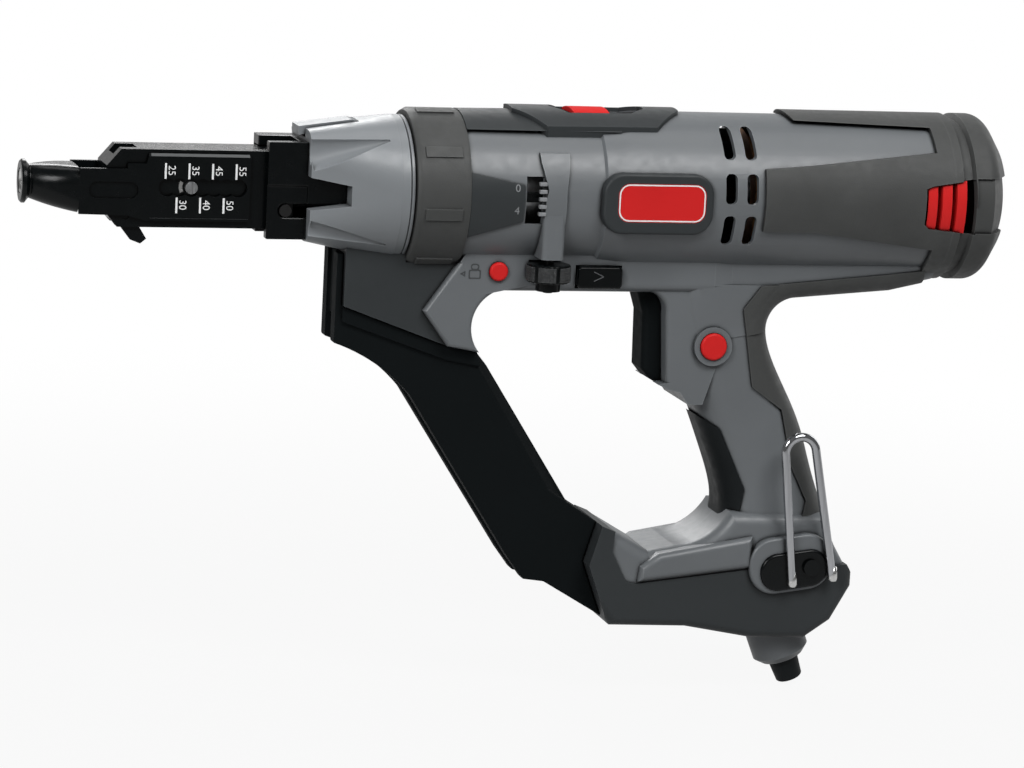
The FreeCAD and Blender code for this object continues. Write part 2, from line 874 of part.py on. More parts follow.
def make_base_form():
    owner = slab("base_form", [
        side("base_lip"), side("base_chin"), side("base_seam_front"), side("base_seam"), side("base_mid"),
        side("base_back_low"), side("base_back"), side("base_back_top"), bowed(side("base_crook"), "-base_bow"),
        side("base_floor"), side("base_dip"),
    ], "base_half")
    half = amount("base_half")
    low = amount("base_dip_z") - 0.2
    front = amount(GEAR + " + base_lip_x") + 1
    back = amount(GEAR + " + base_back_x") - 1
    def chosen(edge):
        box = edge.BoundBox
        flank = box.YLength < 0.01 and abs(abs(box.YMin) - half) < 0.01
        return flank and ((box.ZMin > low and box.XMax > front) or box.XMin > back)
    soften(owner, "base_round", chosen)
    return owner


def make_toe_form():
    """Grey shoulder that swells over the front of the base on both sides."""
    owner = slab("toe_form", [
        side("toe_front_low"), side("toe_front"), side("toe_brow"), side("toe_back"), side("toe_back_low"),
    ], "toe_half")
    soften(owner, "edge_round - 1", on_flank(amount("toe_half")))
    return owner


def tilted(name, middle, wide, tall, corner, near, far):
    """Rounded plate leaning with the belt hook, between two distances out on the left side."""
    owner = body(name)
    outline(sketch(owner, "XZ_Plane", near), rounded("0", "0", wide, tall, corner))
    pad(owner, owner.Group[-1], "%s - (%s)" % (far, near), False)
    across, up = side(middle)
    put(owner, across, "0", up, FreeCAD.Rotation(V(0, 1, 0), -amount("hook_lean")))
    return owner


def make_hook_frame():
    """Raised border round the seat of the belt hook."""
    owner = tilted("hook_frame", "frame_middle", "frame_long", "frame_tall", "frame_corner", "10", "frame_face")
    face = amount("frame_face")
    soften(owner, "1.4", lambda edge: abs(edge.BoundBox.YMin + face) < 0.01 and edge.BoundBox.YLength < 0.01)
    return owner


def make_housing():
    tube = make_tube_form()
    handle = handle_form("handle_form", "0")
    tail = make_tail_form("tail_form", "0")
    base = make_base_form()
    lead_x = GEAR + " + lead_place"
    pieces = [
        tube, make_spine_form(), make_arm_form(), make_jaw_form(), handle, tail, base, make_boss(),
        rod("lock_ring", "lock_ring_radius", "7", GEAR + " + lock_place", "-lock_face + 1.4", "lock_height",
            ALONG_Y),
        make_toe_form(), make_hook_frame(),
    ]
    form = fuse("housing_form", pieces)
    ribs = []
    for name, y in (("left", ("-grip_web_width / 2", "-6.6")), ("right", ("6.6", "grip_web_width / 2"))):
        ribs.append(block("switch_rib_" + name, (GEAR + " + 126", GEAR + " + 131"), y,
                          ("switch_bottom", "switch_top")))
    tools = [
        rod("gear_hollow", "gear_cavity", "gear_length + 15", GEAR + " - 1", turn=ALONG_X),
        rod("collar_seat", "collar_radius", "collar_length", COLLAR, turn=ALONG_X),
        rod("motor_hollow", "motor_cavity", "barrel_length - 12", BARREL + " + 13", turn=ALONG_X),
        cut("handle_void", handle_form("handle_hollow", "-grip_wall", 6), ribs),
        block("wire_way", (GEAR + " + 118", GEAR + " + 138"), ("-8", "8"), ("-48", "-26")),
        block("trigger_hollow", (GEAR + " + 84", SWITCH + " - 0.1"),
              ("-trigger_half - running_gap", "trigger_half + running_gap"),
              ("trigger_tip_z - 1.8", "arm_pit_z + 0.4")),
        block("reverse_hollow",
              (GEAR + " + reverse_place - reverse_long / 2 - running_gap",
               GEAR + " + reverse_place + reverse_long / 2 + running_gap"),
              ("-spine_half - 9", "spine_half + 9"),
              ("reverse_height - reverse_tall / 2 - running_gap",
               "reverse_height + reverse_tall / 2 + running_gap")),
        rod("wheel_hollow", "wheel_radius + 0.6", "wheel_thick + 1.2", lead_x, "-lead_side",
            "wheel_top - wheel_thick - 0.6"),
        rod("lead_hollow", "lead_radius + running_fit", "boss_front_top_z + 38", lead_x, "-lead_side",
            "lead_foot - 0.2"),
        block("pointer_window", (GEAR + " + 24.3", GEAR + " + 32"), ("-40", "-22"), ("-11", "9.4")),
        rod("lock_hollow", "lock_radius + 0.2", "14", GEAR + " + lock_place", "-lock_face", "lock_height", ALONG_Y),
        rod("release_hollow", "release_radius + 0.2", "16", GEAR + " + release_place", "-spine_half - 4",
            "release_height", ALONG_Y),
        rod("hook_screw_way", "hook_thread", "30", GEAR + " + hook_bolt_x", "-35", "hook_bolt_z", ALONG_Y),
        make_recess(),
        tilted("insert_seat", "insert_middle", "insert_long + 2 * press_gap", "insert_tall + 2 * press_gap",
               "insert_corner", "base_half - 3", "block_face + 5"),
        make_window(),
        rod("wire_hollow", "cable_radius", "80", GEAR + " + cable_place", "0", "cable_height",
            FreeCAD.Rotation(V(0, 1, 0), -amount("collar_lean"))),
    ]
    for row, height in enumerate((24.2, 5.6, -12.4)):
        for column in (114.5, 124.0):
            tools.append(vent_slot("vent_%d_%d" % (row, int(column)), str(column), str(height)))
    shell = cut("housing_shell", form, tools + screw_holes())
    along = (COLLAR, CAP)
    tall = ("guard_sole_z - 20", "barrel_radius + 20")
    left = common("housing_left", [shell, block("left_side", along, ("-barrel_radius - 20", "0"), tall)])
    right = common("housing_right", [shell, block("right_side", along, ("0", "barrel_radius + 20"), tall)])
    return left, right


def plan_form(name, word):
    """Eight-sided plan of a top fitting, padded upward from the axis."""
    owner = body(name)
    ends = ("front", "shoulder", "hip", "rear")
    halves = ("front_half", "half", "hip_half", "rear_half")
    near = []
    far = []
    for end, half in zip(ends, halves):
        across = GEAR + " + %s_%s" % (word, end)
        near.append((across, "-%s_%s" % (word, half)))
        far.append((across, "%s_%s" % (word, half)))
    plan = sketch(owner, "XY_Plane")
    outline(plan, near + list(reversed(far)))
    pad(owner, plan, "barrel_radius + 20", False)
    return owner


def make_recess():
    """Well of the top slider, down to a floor that follows the tube."""
    floor = rod("recess_floor", "floor_radius", "gear_length + barrel_length", GEAR, turn=ALONG_X)
    return cut("slider_hollow", plan_form("recess_form", "recess"), [floor])


def window_corners():
    words = ("front_low", "chin", "rear_low", "rear_top", "brow", "front_top")
    return [side("window_" + word) for word in words]


def make_window():
    """Rear air windows of both sides, clear of the middle."""
    prism = slab("rear_window_prism", window_corners(), "barrel_radius + 20")
    middle = rod("rear_window_middle", "motor_cavity - 3", "60", CAP + " - 20", turn=ALONG_X)
    return cut("rear_window_hollow", prism, [middle])


def vent_slot(name, across, height):
    owner = body(name)
    middle = GEAR + " + " + across
    outline(sketch(owner, "XZ_Plane"), rounded(middle, height, "vent_wide", "vent_tall", "vent_corner"))
    pad(owner, owner.Group[-1], "100")
    return owner


SCREW_PLACES = [
    ("arm", "6", "-58"),
    ("spine", "78", "-37"),
    ("tail", "166", "-38.5"),
    ("base_front", "96", "-160"),
    ("base_back", "168", "-148"),
]


def screw_holes():
    tools = []
    for word, across, up in SCREW_PLACES:
        x = GEAR + " + " + across
        tools.append(rod("screw_hole_" + word, "screw_radius + press_gap", "24", x, "-6", up, ALONG_Y))
        tools.append(rod("screw_sink_" + word, "screw_head + running_gap", "30", x, "11", up, ALONG_Y))
    return tools


def make_screws():
    items = []
    for word, across, up in SCREW_PLACES:
        x = GEAR + " + " + across
        items.append(rod("screw_shank_" + word, "screw_radius", "17", x, "-5.9", up, ALONG_Y))
        items.append(rod("screw_cap_" + word, "screw_head", "2.4", x, "11", up, ALONG_Y))
    return fuse("housing_screws", items)


def make_overmoulds(handle, tail, tube):
    shell = turned("overmould_shell", [
        (GEAR + " + 118", "barrel_radius"),
        (CAP, "barrel_radius"),
        (CAP, "barrel_radius + overmould_skin"),
        (GEAR + " + 118", "barrel_radius + overmould_skin"),
    ])
    front = GEAR + " + 110"
    upper = slab("overmould_upper_hollow", [
        (front, "side_pad_top_z"), side("side_pad_top"), side("side_pad_crest"), side("side_pad_rear_top"),
        side("top_pad_rear"), side("top_pad_front"), side("top_pad_tip"), (front, "top_pad_tip_z"),
    ], "50")
    lower = slab("overmould_lower_hollow", [
        (front, "-60"), (side("side_pad_rear_low")[0], "-60"), side("side_pad_rear_low"),
        side("side_pad_heel"), side("side_pad_low"), (front, "side_pad_low_z"),
    ], "50")
    nose = block("overmould_nose_hollow", (front, GEAR + " + side_pad_top_x"), ("-50", "50"), ("-50", "50"))
    cut("barrel_overmould", shell, [upper, lower, nose, DOC.getObject("rear_window_hollow"), tail])
    grown = fuse("grown_grip", [handle_form("grown_handle", "grip_skin"), make_tail_form("grown_tail", "grip_skin")])
    back = slab("grip_back_reach", [
        side("grip_peak"), side("grip_shoulder"), side("grip_waist"), side("grip_hip"), side("grip_thigh"),
        side("grip_knee"), side("grip_heel"), (GEAR + " + grip_heel_x", "base_crook_z - 4"),
        (GEAR + " + base_back_low_x + 8", "base_crook_z - 4"), side("wing_end"), side("wing_rear"),
        side("wing_mid"),
    ], "40")
    finger = slab("grip_front_reach", [
        side("finger_top"), (GEAR + " + base_dip_x", "finger_top_z + 4"),
        (GEAR + " + base_dip_x", "finger_sole_z"),
        side("finger_sole"), side("finger_foot"), side("finger_waist"), side("finger_shoulder"),
    ], "40")
    cores = [handle, tail, tube, DOC.getObject("base_form"), DOC.getObject("jaw_form")]
    cut("handle_grip_back", common("grip_back_skin", [grown, back]), cores + [DOC.getObject("barrel_overmould")])
    cut("handle_grip_front", common("grip_front_skin", [grown, finger]), cores)


def make_base_guard():
    owner = slab("guard_form", [
        side("guide_joint_top"), side("guide_joint_mid"), side("guide_joint_low"), side("guard_toe"),
        side("guard_sole"), side("guard_step"), side("guard_heel_low"), side("guard_heel"),
        side("guard_back_low"), side("guard_back"), side("base_back_low"), side("base_mid"), side("base_seam"),
        side("base_seam_front"), side("base_chin"), side("base_lip"),
    ], "guard_half")
    half = amount("guard_half")
    edge_front = amount(GEAR + " + guide_joint_low_x")
    seam = amount("base_back_low_z")
    def chosen(edge):
        box = edge.BoundBox
        flank = box.YLength < 0.01 and abs(abs(box.YMin) - half) < 0.01
        return flank and box.XMax > edge_front + 1 and box.ZMax < seam - 0.1 and box.ZMin < amount("base_seam_z") - 2
    soften(owner, "edge_round", chosen)
    neighbours = ("wire_hollow", "base_form", "toe_form", "hook_frame", "hook_screw_way", "insert_seat")
    others = [DOC.getObject(word) for word in neighbours]
    return cut("base_guard", owner, others)


def make_strip_guide():
    owner = slab("strip_guide", [
        side("guide_peak"), bowed(side("guide_chin"), "-80"), side("guide_bend"), side("guide_foot"),
        side("guide_toe"), side("guide_tip"), side("guide_joint_low"), side("guide_joint_mid"),
        side("guide_joint_top"), side("guide_back_low"), side("guide_back_top"), side("arm_heel"),
        side("panel_toe"), side("panel_chin"), (GEAR + " + panel_chin_x", "guide_peak_z"),
    ], "guide_half")
    half = amount("guide_half")
    high = amount("guide_back_top_z") + 0.1
    low = amount("guide_back_low_z") - 0.1
    back = amount(GEAR + " + guide_back_top_x") - 0.1
    def chosen(edge):
        box = edge.BoundBox
        flank = box.YLength < 0.01 and abs(abs(box.YMin) - half) < 0.01
        return flank and box.ZMax < high and box.ZMin > low and box.XMin > back
    bevel(owner, "guide_bevel", chosen)
    band = sketch(owner, "XZ_Plane")
    outline(band, [
        side("panel_chin"),
        (GEAR + " + panel_chin_x", "panel_chin_z - band_tall"),
        (GEAR + " + panel_toe_x + 2", "panel_toe_z - band_tall"),
        (GEAR + " + arm_heel_x + 2", "arm_heel_z - band_tall"),
        side("arm_heel"), side("panel_toe"),
    ])
    pad(owner, band, "2 * (guide_half + band_proud)")
    channel = sketch(owner, "XZ_Plane")
    outline(channel, [
        (GEAR + " + guide_peak_x - 2", "guide_peak_z + 2"),
        (GEAR + " + guide_peak_x - 2", "guide_chin_z - 1"),
        (GEAR + " + guide_bend_x - 2", "guide_bend_z - 2"),
        (GEAR + " + guide_foot_x - 2", "guide_foot_z - 2"),
        (GEAR + " + guide_foot_x + 2", "guide_foot_z - 8"),
        (GEAR + " + guide_tip_x - 4", "guide_tip_z - 6"),
        (GEAR + " + guide_foot_x + channel_deep", "guide_foot_z + 4"),
        (GEAR + " + guide_bend_x + channel_deep", "guide_bend_z + 4"),
        (GEAR + " + guide_chin_x + channel_deep", "guide_chin_z + 5"),
        (GEAR + " + panel_chin_x - 1.6", "guide_chin_z + 11"),
        (GEAR + " + panel_chin_x - 1.6", "guide_peak_z + 2"),
    ])
    pocket(owner, channel, "2 * channel_half")
    return owner


def make_strip_bracket(cone, tube):
    owner = slab("panel_form", [
        side("panel_peak"), side("panel_chin"), side("panel_toe"), side("panel_elbow"), side("panel_hip"),
        side("panel_brow"),
    ], "panel_half")
    ring_form = rod("collar_form", "collar_radius", "collar_length", COLLAR, turn=ALONG_X)
    return cut("strip_bracket", owner, [cone, ring_form, tube, DOC.getObject("spine_form")])


def make_collar():
    hoop = turned("collar_hoop", [
        (COLLAR, "gear_cavity - 1.8"),
        (GEAR, "gear_cavity - 1.8"),
        (GEAR, "collar_radius - 0.4"),
        (GEAR + " - 1.5", "collar_radius"),
        (COLLAR + " + 2", "collar_radius"),
        (COLLAR, "collar_radius - 1.2"),
    ])
    bars = []
    for angle in (12, 57, 102, 147, 237, 282, 327):
        bar = DOC.addObject("Part::Box", "collar_bar_%d" % angle)
        bind(bar, Length="bar_long", Width="bar_tall", Height="bar_proud + 1")
        turn = FreeCAD.Rotation(V(1, 0, 0), angle)
        corner = turn.multVec(V(0, -amount("bar_tall") / 2, amount("collar_radius") - 1))
        put(bar, COLLAR + " + bar_place", "%.6f" % corner.y, "%.6f" % corner.z, turn)
        bars.append(bar)
    return fuse("front_collar", [hoop] + bars)


def make_cone():
    owner = body("cone_form")
    middle = "(cone_top - cone_bottom) / 2"
    face = sketch(owner, "YZ_Plane", "cone_front")
    outline(face, rounded("0", middle, "2 * cone_half", "cone_top + cone_bottom", "cone_corner"))
    rim = sketch(owner, "YZ_Plane", COLLAR + " - cone_band")
    outline(rim, rounded("0", "0", "2 * cone_radius", "2 * cone_radius", "cone_radius - 0.4"))
    loft(owner, [face, rim])
    band = sketch(owner, "XZ_Plane")
    outline(band, [
        (COLLAR + " - cone_band", "0"),
        (COLLAR, "0"),
        (COLLAR, "cone_radius - 0.6"),
        (COLLAR + " - 0.8", "cone_radius"),
        (COLLAR + " - 1.8", "cone_radius"),
        (COLLAR + " - 2.2", "cone_radius - 0.5"),
        (COLLAR + " - 2.6", "cone_radius"),
        (COLLAR + " - cone_band", "cone_radius"),
    ])
    lathe(owner, band)
    return owner


def taper(name, start, end, first, last):
    """Slender cone between two points."""
    item = DOC.addObject("Part::Cone", name)
    axis = end - start
    bind(item, Radius1=first, Radius2=last)
    item.Height = axis.Length
    item.Placement = FreeCAD.Placement(start, FreeCAD.Rotation(V(0, 0, 1), axis))
    return item


def make_flutes():
    """Hollows that run back from the corners of the cone's face and fade out."""
    front = amount("cone_front - 0.01")
    rear = amount("cone_front + flute_long")
    out = amount("cone_half")
    tools = []
    for name, sign in (("left", -1), ("right", 1)):
        tools.append(taper("flute_upper_" + name, V(front, sign * (out + 3), amount("cone_top - 8.2")),
                           V(rear, sign * (out - 2.4), amount("cone_top - 2.8")), "flute_upper", "flute_tip"))
        tools.append(taper("flute_lower_" + name, V(front, sign * (out + 2), amount("-cone_bottom + 5")),
                           V(rear, sign * (out - 2.5), amount("-cone_bottom")), "flute_lower", "flute_tip"))
    return tools


def make_nose_cone(form):
    tab = slab("cone_tab", [
        ("cone_front - tab_reach", "cone_top + 0.8 - tab_thick"),
        ("cone_front + tab_long", "cone_top + tab_rise + 0.8 - tab_thick"),
        ("cone_front + tab_long + 8", "cone_top + tab_rise - tab_thick"),
        ("cone_front + tab_long + 6", "cone_top + tab_rise - 0.6"),
        ("cone_front + tab_long", "cone_top + tab_rise + 0.8"),
        ("cone_front - tab_reach", "cone_top + 0.8"),
    ], "tab_half")
    slot = block("tab_slot", ("cone_front - 1", "cone_front + tab_long + 3"), ("-tab_half - 1", "tab_half + 1"),
                 ("bracket_top + tab_floor", "cone_top + 10"))
    passage = block("cone_passage", ("cone_front - 1", "bracket_rear"), ("-bracket_half", "bracket_half"),
                    ("-bracket_bottom", "bracket_top"))
    notch = slab("cone_notch", [
        ("cone_front - 1", "-7.6"),
        ("cone_front + notch_depth", "-5.2"),
        ("cone_front + notch_depth", "3.3"),
        ("cone_front - 1", "6.5"),
    ], "cone_half + 20")
    hollow = turned("cone_hollow", [
        ("cone_front + 16", "0"),
        (COLLAR + " + 1", "0"),
        (COLLAR + " + 1", "cone_radius - 4"),
        ("cone_front + 30", "cone_radius - 5"),
        ("cone_front + 16", "bracket_half"),
    ])
    shell = cut("cone_shell", form, [passage, notch, hollow, slot] + make_flutes())
    return fuse("nose_cone", [shell, tab])


def make_feed_bracket():
    owner = body("feed_bracket")
    outer = sketch(owner, "YZ_Plane", "bracket_front")
    outline(outer, [
        ("-bracket_half", "-bracket_bottom"),
        ("bracket_half", "-bracket_bottom"),
        ("bracket_half", "bracket_top"),
        ("-bracket_half", "bracket_top"),
    ])
    pad(owner, outer, "bracket_rear - bracket_front", False)
    inner = sketch(owner, "YZ_Plane", "bracket_front - 1")
    outline(inner, [
        ("-bracket_half + bracket_wall", "-slide_bottom - running_gap"),
        ("bracket_half - bracket_wall", "-slide_bottom - running_gap"),
        ("bracket_half - bracket_wall", "slide_top + running_gap"),
        ("-bracket_half + bracket_wall", "slide_top + running_gap"),
    ])
    feature = pocket(owner, inner, "bracket_rear - bracket_front + 2", False)
    feature.Reversed = True
    way = sketch(owner, "XZ_Plane")
    outline(way, rounded("roller_place + stroke / 2", "-roller_drop", "stroke + 2 * roller_radius + 1.2",
                         "2 * roller_radius + 0.7", "2.9"))
    pocket(owner, way, "4 * bracket_half")
    strip = sketch(owner, "XY_Plane")
    outline(strip, [
        ("bracket_front - 1", "-pawl_side - pawl_thick / 2 - 1"),
        ("bracket_front + 14", "-pawl_side - pawl_thick / 2 - 1"),
        ("bracket_front + 14", "strip_half + 0.5"),
        ("bracket_front - 1", "strip_half + 0.5"),
    ])
    pocket(owner, strip, "4 * bracket_half")
    facet = sketch(owner, "YZ_Plane", "bracket_front - 1")
    outline(facet, [
        ("-bracket_half - 1", "-bracket_bottom - 1"),
        ("-bracket_half + 0.7", "-bracket_bottom - 1"),
        ("-bracket_half + 0.7", "1.5"),
        ("-bracket_half - 1", "2.5"),
    ])
    feature = pocket(owner, facet, "cone_front - bracket_front + 1", False)
    feature.Reversed = True
    return owner


def make_nosepiece():
    owner = body("nosepiece")
    rim = sketch(owner, "XZ_Plane")
    outline(rim, [
        ("0", "0"),
        ("tube_length", "0"),
        ("tube_length", "neck_radius"),
        ("rim_thick + 1", "neck_radius"),
        ("rim_thick", "rim_radius - 0.8"),
        ("rim_thick - 0.6", "rim_radius"),
        ("0.7", "rim_radius"),
        ("0", "rim_radius - 0.7"),
    ])
    lathe(owner, rim)
    throat = sketch(owner, "YZ_Plane", "rim_thick + 1.5")
    outline(throat, rounded("0", "0", "2 * neck_radius", "2 * neck_radius", "neck_radius - 0.2"))
    mid = sketch(owner, "YZ_Plane", "tube_length * 0.62")
    outline(mid, rounded("0", "(tube_top - tube_bottom + 2) / 2", "2 * cheek_half - 3",
                         "tube_top + tube_bottom - 1.4", "7.5"))
    mouth = sketch(owner, "YZ_Plane", "tube_length")
    outline(mouth, rounded("0", "(tube_top - tube_bottom) / 2", "2 * cheek_half", "tube_top + tube_bottom", "6"))
    loft(owner, [throat, mid, mouth])
    cheeks = sketch(owner, "XZ_Plane")
    outline(cheeks, [
        ("tube_length", "tube_top"),
        ("tube_length", "-tube_bottom"),
        ("cheek_step - 8", "-tube_bottom - 0.3"),
        ("cheek_step", "-cheek_bottom"),
        ("cheek_rear", "-cheek_bottom"),
        ("cheek_rear", "cheek_top"),
        ("cheek_step + 1", "cheek_top"),
        ("cheek_step", "cheek_top - 4.3"),
        ("cheek_step - 8", "cheek_top - 4.3"),
        ("cheek_step - 8", "tube_top"),
    ])
    pad(owner, cheeks, "2 * cheek_half")
    bore = sketch(owner, "YZ_Plane")
    ring(bore, "0", "0", "mouth_radius")
    feature = pocket(owner, bore, "tube_length + 1", False)
    feature.Reversed = True
    entry = sketch(owner, "YZ_Plane", "mouth_length")
    outline(entry, rounded("0", "0", "2 * mouth_radius", "2 * mouth_radius", "mouth_radius - 0.2"))
    leave = sketch(owner, "YZ_Plane", "tube_length")
    outline(leave, rounded("0", "(tube_top - tube_bottom) / 2", "2 * cheek_half - 2 * cheek_thick",
                           "tube_top + tube_bottom - 2 * cheek_thick", "4"))
    loft(owner, [entry, leave], "SubtractiveLoft")
    fork = sketch(owner, "XY_Plane")
    outline(fork, [
        ("tube_length", "-cheek_half + cheek_thick"),
        ("cheek_rear + 1", "-cheek_half + cheek_thick"),
        ("cheek_rear + 1", "cheek_half - cheek_thick"),
        ("tube_length", "cheek_half - cheek_thick"),
    ])
    pocket(owner, fork, "6 * cheek_bottom")
    bead = sketch(owner, "XZ_Plane", "cheek_half")
    outline(bead, rounded("pill_place", "pill_height", "pill_long", "pill_tall", "pill_tall / 2 - 0.1"))
    pocket(owner, bead, "pill_deep", False)
    detent = sketch(owner, "XZ_Plane", "cheek_half + 1")
    ring(detent, "scale_first", "0", "detent_radius")
    feature = pocket(owner, detent, "cheek_thick + 2", False)
    copies = owner.newObject("PartDesign::LinearPattern", "detent_row")
    copies.Originals = [feature]
    copies.Direction = (datum(owner, "X_Axis"), [""])
    bind(copies, Length="scale_pitch * (scale_count - 1)", Occurrences="scale_count")
    owner.Tip = copies
    half = amount("cheek_half")
    top = amount("cheek_top")
    def chosen(edge):
        box = edge.BoundBox
        return abs(abs(box.YMin) - half) < 0.01 and abs(abs(box.YMax) - half) < 0.01 and box.ZMin > top - 0.01
    bevel(owner, "cheek_fold", chosen)
    return owner


def make_slide():
    owner = slab("slide_body", [
        ("slide_front", "-slide_bottom + 6"),
        ("slide_front + 5", "-slide_bottom"),
        ("slide_rear", "-slide_bottom"),
        ("slide_rear", "slide_top"),
        ("slide_front + 6", "slide_top"),
        ("slide_front", "slide_top - 7"),
    ], "slide_half")
    strip = sketch(owner, "XY_Plane")
    outline(strip, [
        ("strip_front", "-strip_half"),
        ("strip_rear", "-strip_half"),
        ("strip_rear", "strip_half"),
        ("strip_front", "strip_half"),
    ])
    pocket(owner, strip, "6 * slide_top")
    bore = sketch(owner, "YZ_Plane", "slide_front - 1")
    ring(bore, "0", "0", "bit_bore + 1.4")
    feature = pocket(owner, bore, "strip_rear - slide_front", False)
    feature.Reversed = True
    way = sketch(owner, "YZ_Plane", "strip_front")
    ring(way, "0", "0", "bit_bore")
    feature = pocket(owner, way, "slide_rear - strip_front + 1", False)
    feature.Reversed = True
    seat = sketch(owner, "YZ_Plane", "spring_seat")
    ring(seat, "0", "0", "spring_bore")
    feature = pocket(owner, seat, "slide_rear - spring_seat + 1", False)
    feature.Reversed = True
    wheel = sketch(owner, "XZ_Plane")
    ring(wheel, "sprocket_place", "-sprocket_drop", "sprocket_radius + 1")
    pocket(owner, wheel, "2 * sprocket_half + 0.8")
    axle = sketch(owner, "XZ_Plane")
    ring(axle, "sprocket_place", "-sprocket_drop", "axle_radius + running_fit")
    pocket(owner, axle, "4 * slide_half")
    pawl = sketch(owner, "XZ_Plane", "pawl_side")
    outline(pawl, [
        ("pawl_place - 7", "-slide_bottom - 1"),
        ("pawl_place + 13", "-slide_bottom - 1"),
        ("pawl_place + 13", "-pawl_drop - 1"),
        ("pawl_place + 5", "-pawl_drop + 5"),
        ("pawl_place - 7", "-pawl_drop + 5"),
    ])
    pocket(owner, pawl, "pawl_thick + 2 * running_gap")
    pivot = sketch(owner, "XZ_Plane", "slide_half + 1")
    ring(pivot, "pawl_place", "-pawl_drop", "axle_radius + running_fit")
    feature = pocket(owner, pivot, "slide_half - strip_half + 1.5", False)
    pin = sketch(owner, "XZ_Plane", "slide_half + 1")
    ring(pin, "pin_place", "0", "pin_radius - 0.6 + press_gap")
    pocket(owner, pin, "3.4", False)
    roller = sketch(owner, "XZ_Plane", "slide_half + 1")
    ring(roller, "roller_place", "-roller_drop", "1.4 + press_gap")
    pocket(owner, roller, "3.4", False)
    return owner


def make_slide_fittings():
    fuse("index_pin", [
        rod("index_head", "pin_radius", "2.9", "pin_place", "-slide_half - 2.9", "0", ALONG_Y),
        rod("index_stem", "pin_radius - 0.6", "2.3", "pin_place", "-slide_half", "0", ALONG_Y),
    ])
    fuse("guide_roller", [
        rod("roller_wheel", "roller_radius", "3.4", "roller_place", "-bracket_half + 0.3", "-roller_drop", ALONG_Y),
        rod("roller_stem", "1.4", "6.4", "roller_place", "-bracket_half + 0.3", "-roller_drop", ALONG_Y),
    ])
    owner = body("strip_pawl")
    plate = sketch(owner, "XZ_Plane", "pawl_side")
    outline(plate, [
        ("pawl_place - 5.5", "-pawl_drop"),
        ("pawl_place + 2.6", "-pawl_drop - 10.3"),
        ("pawl_place + 6.9", "-pawl_drop - 11.9"),
        ("pawl_place + 9.4", "-pawl_drop - 9.8"),
        ("pawl_place + 6.2", "-pawl_drop - 4.7"),
        ("pawl_place + 3", "-pawl_drop + 2"),
        ("pawl_place - 3", "-pawl_drop + 3"),
    ])
    pad(owner, plate, "pawl_thick")
    pin = sketch(owner, "XZ_Plane", "pawl_side")
    ring(pin, "pawl_place", "-pawl_drop", "axle_radius")
    pad(owner, pin, "pawl_thick + 2.4")
    sprocket = body("feed_sprocket")
    disc = sketch(sprocket, "XZ_Plane")
    ring(disc, "0", "0", "sprocket_radius - 2")
    pad(sprocket, disc, "2 * sprocket_half")
    axle = sketch(sprocket, "XZ_Plane")
    ring(axle, "0", "0", "axle_radius")
    pad(sprocket, axle, "2 * slide_half - 0.4")
    teeth = sketch(sprocket, "XZ_Plane")
    outline(teeth, [
        ("-1.3", "sprocket_radius - 3"),
        ("1.3", "sprocket_radius - 3"),
        ("0.7", "sprocket_radius"),
        ("-0.7", "sprocket_radius"),
    ])
    spin(sprocket, [pad(sprocket, teeth, "2 * sprocket_half - 1")], 8, "Y_Axis")
    put(sprocket, "sprocket_place", "0", "-sprocket_drop")


def helix_tube(name, radius, wire, start, end, turns):
    """Spring wound as one unbroken tube of quarter-turn arcs along the drive axis."""
    pitch = (end - start - 2 * wire) / turns
    places = []
    steps = turns * 4
    for step in range(steps + 1):
        angle = math.pi / 2 * step
        places.append(V(start + wire + pitch * step / 4, radius * math.cos(angle), radius * math.sin(angle)))
    arcs = []
    for step in range(steps):
        angle = math.pi / 2 * (step + 0.5)
        between = V(start + wire + pitch * (step + 0.5) / 4, radius * math.cos(angle), radius * math.sin(angle))
        arcs.append(Part.Arc(places[step], between, places[step + 1]).toShape())
    spine = Part.Wire(arcs)
    heading = spine.Edges[0].tangentAt(spine.Edges[0].FirstParameter)
    section = Part.Wire([Part.Circle(places[0], heading, wire).toShape()])
    item = DOC.addObject("Part::Feature", name)
    item.Shape = spine.makePipeShell([section], True, False)
    print("least gap between the turns of", name, round(pitch - 2 * wire, 2), "mm")
    return item


def involute(base, reach):
    """Angle that an involute has turned where it has reached a radius."""
    grow = math.sqrt(max((reach / base) ** 2 - 1, 0))
    return grow - math.atan(grow)


def gear_face(teeth, module, backlash, inner=False):
    """Outline of an involute gear about the X axis, tooth at the top."""
    pitch = teeth * module / 2
    base = pitch * math.cos(math.radians(20))
    tip = pitch - 0.75 * module if inner else pitch + 0.8 * module
    root = pitch + 1.15 * module if inner else pitch - 1.15 * module
    half = math.pi / (2 * teeth) + (backlash / 2 if inner else -backlash / 2) / pitch
    lean = involute(base, pitch)
    radii = [max(root, base) if not inner else tip, pitch, tip if not inner else root]
    flank = []
    for reach in radii:
        flank.append((reach, half + lean - involute(base, max(reach, base))))
    corners = []
    for tooth in range(teeth):
        middle = 2 * math.pi * tooth / teeth + (math.pi / teeth if inner else 0)
        if not inner and root < base:
            corners.append((root, middle - flank[0][1]))
        for reach, turn in flank:
            corners.append((reach, middle - turn))
        for reach, turn in reversed(flank):
            corners.append((reach, middle + turn))
        if not inner and root < base:
            corners.append((root, middle + flank[0][1]))
    points = [V(0, -reach * math.sin(turn), reach * math.cos(turn)) for reach, turn in corners]
    return Part.Wire(Part.makePolygon(points + [points[0]]))


def gear_solid(name, outer, holes, width):
    item = DOC.addObject("Part::Feature", name)
    item.Shape = Part.Face([outer] + holes, "Part::FaceMakerBullseye").extrude(V(width, 0, 0))
    return item


def circle_wire(radius):
    return Part.Wire([Part.Circle(V(0, 0, 0), V(1, 0, 0), radius).toShape()])


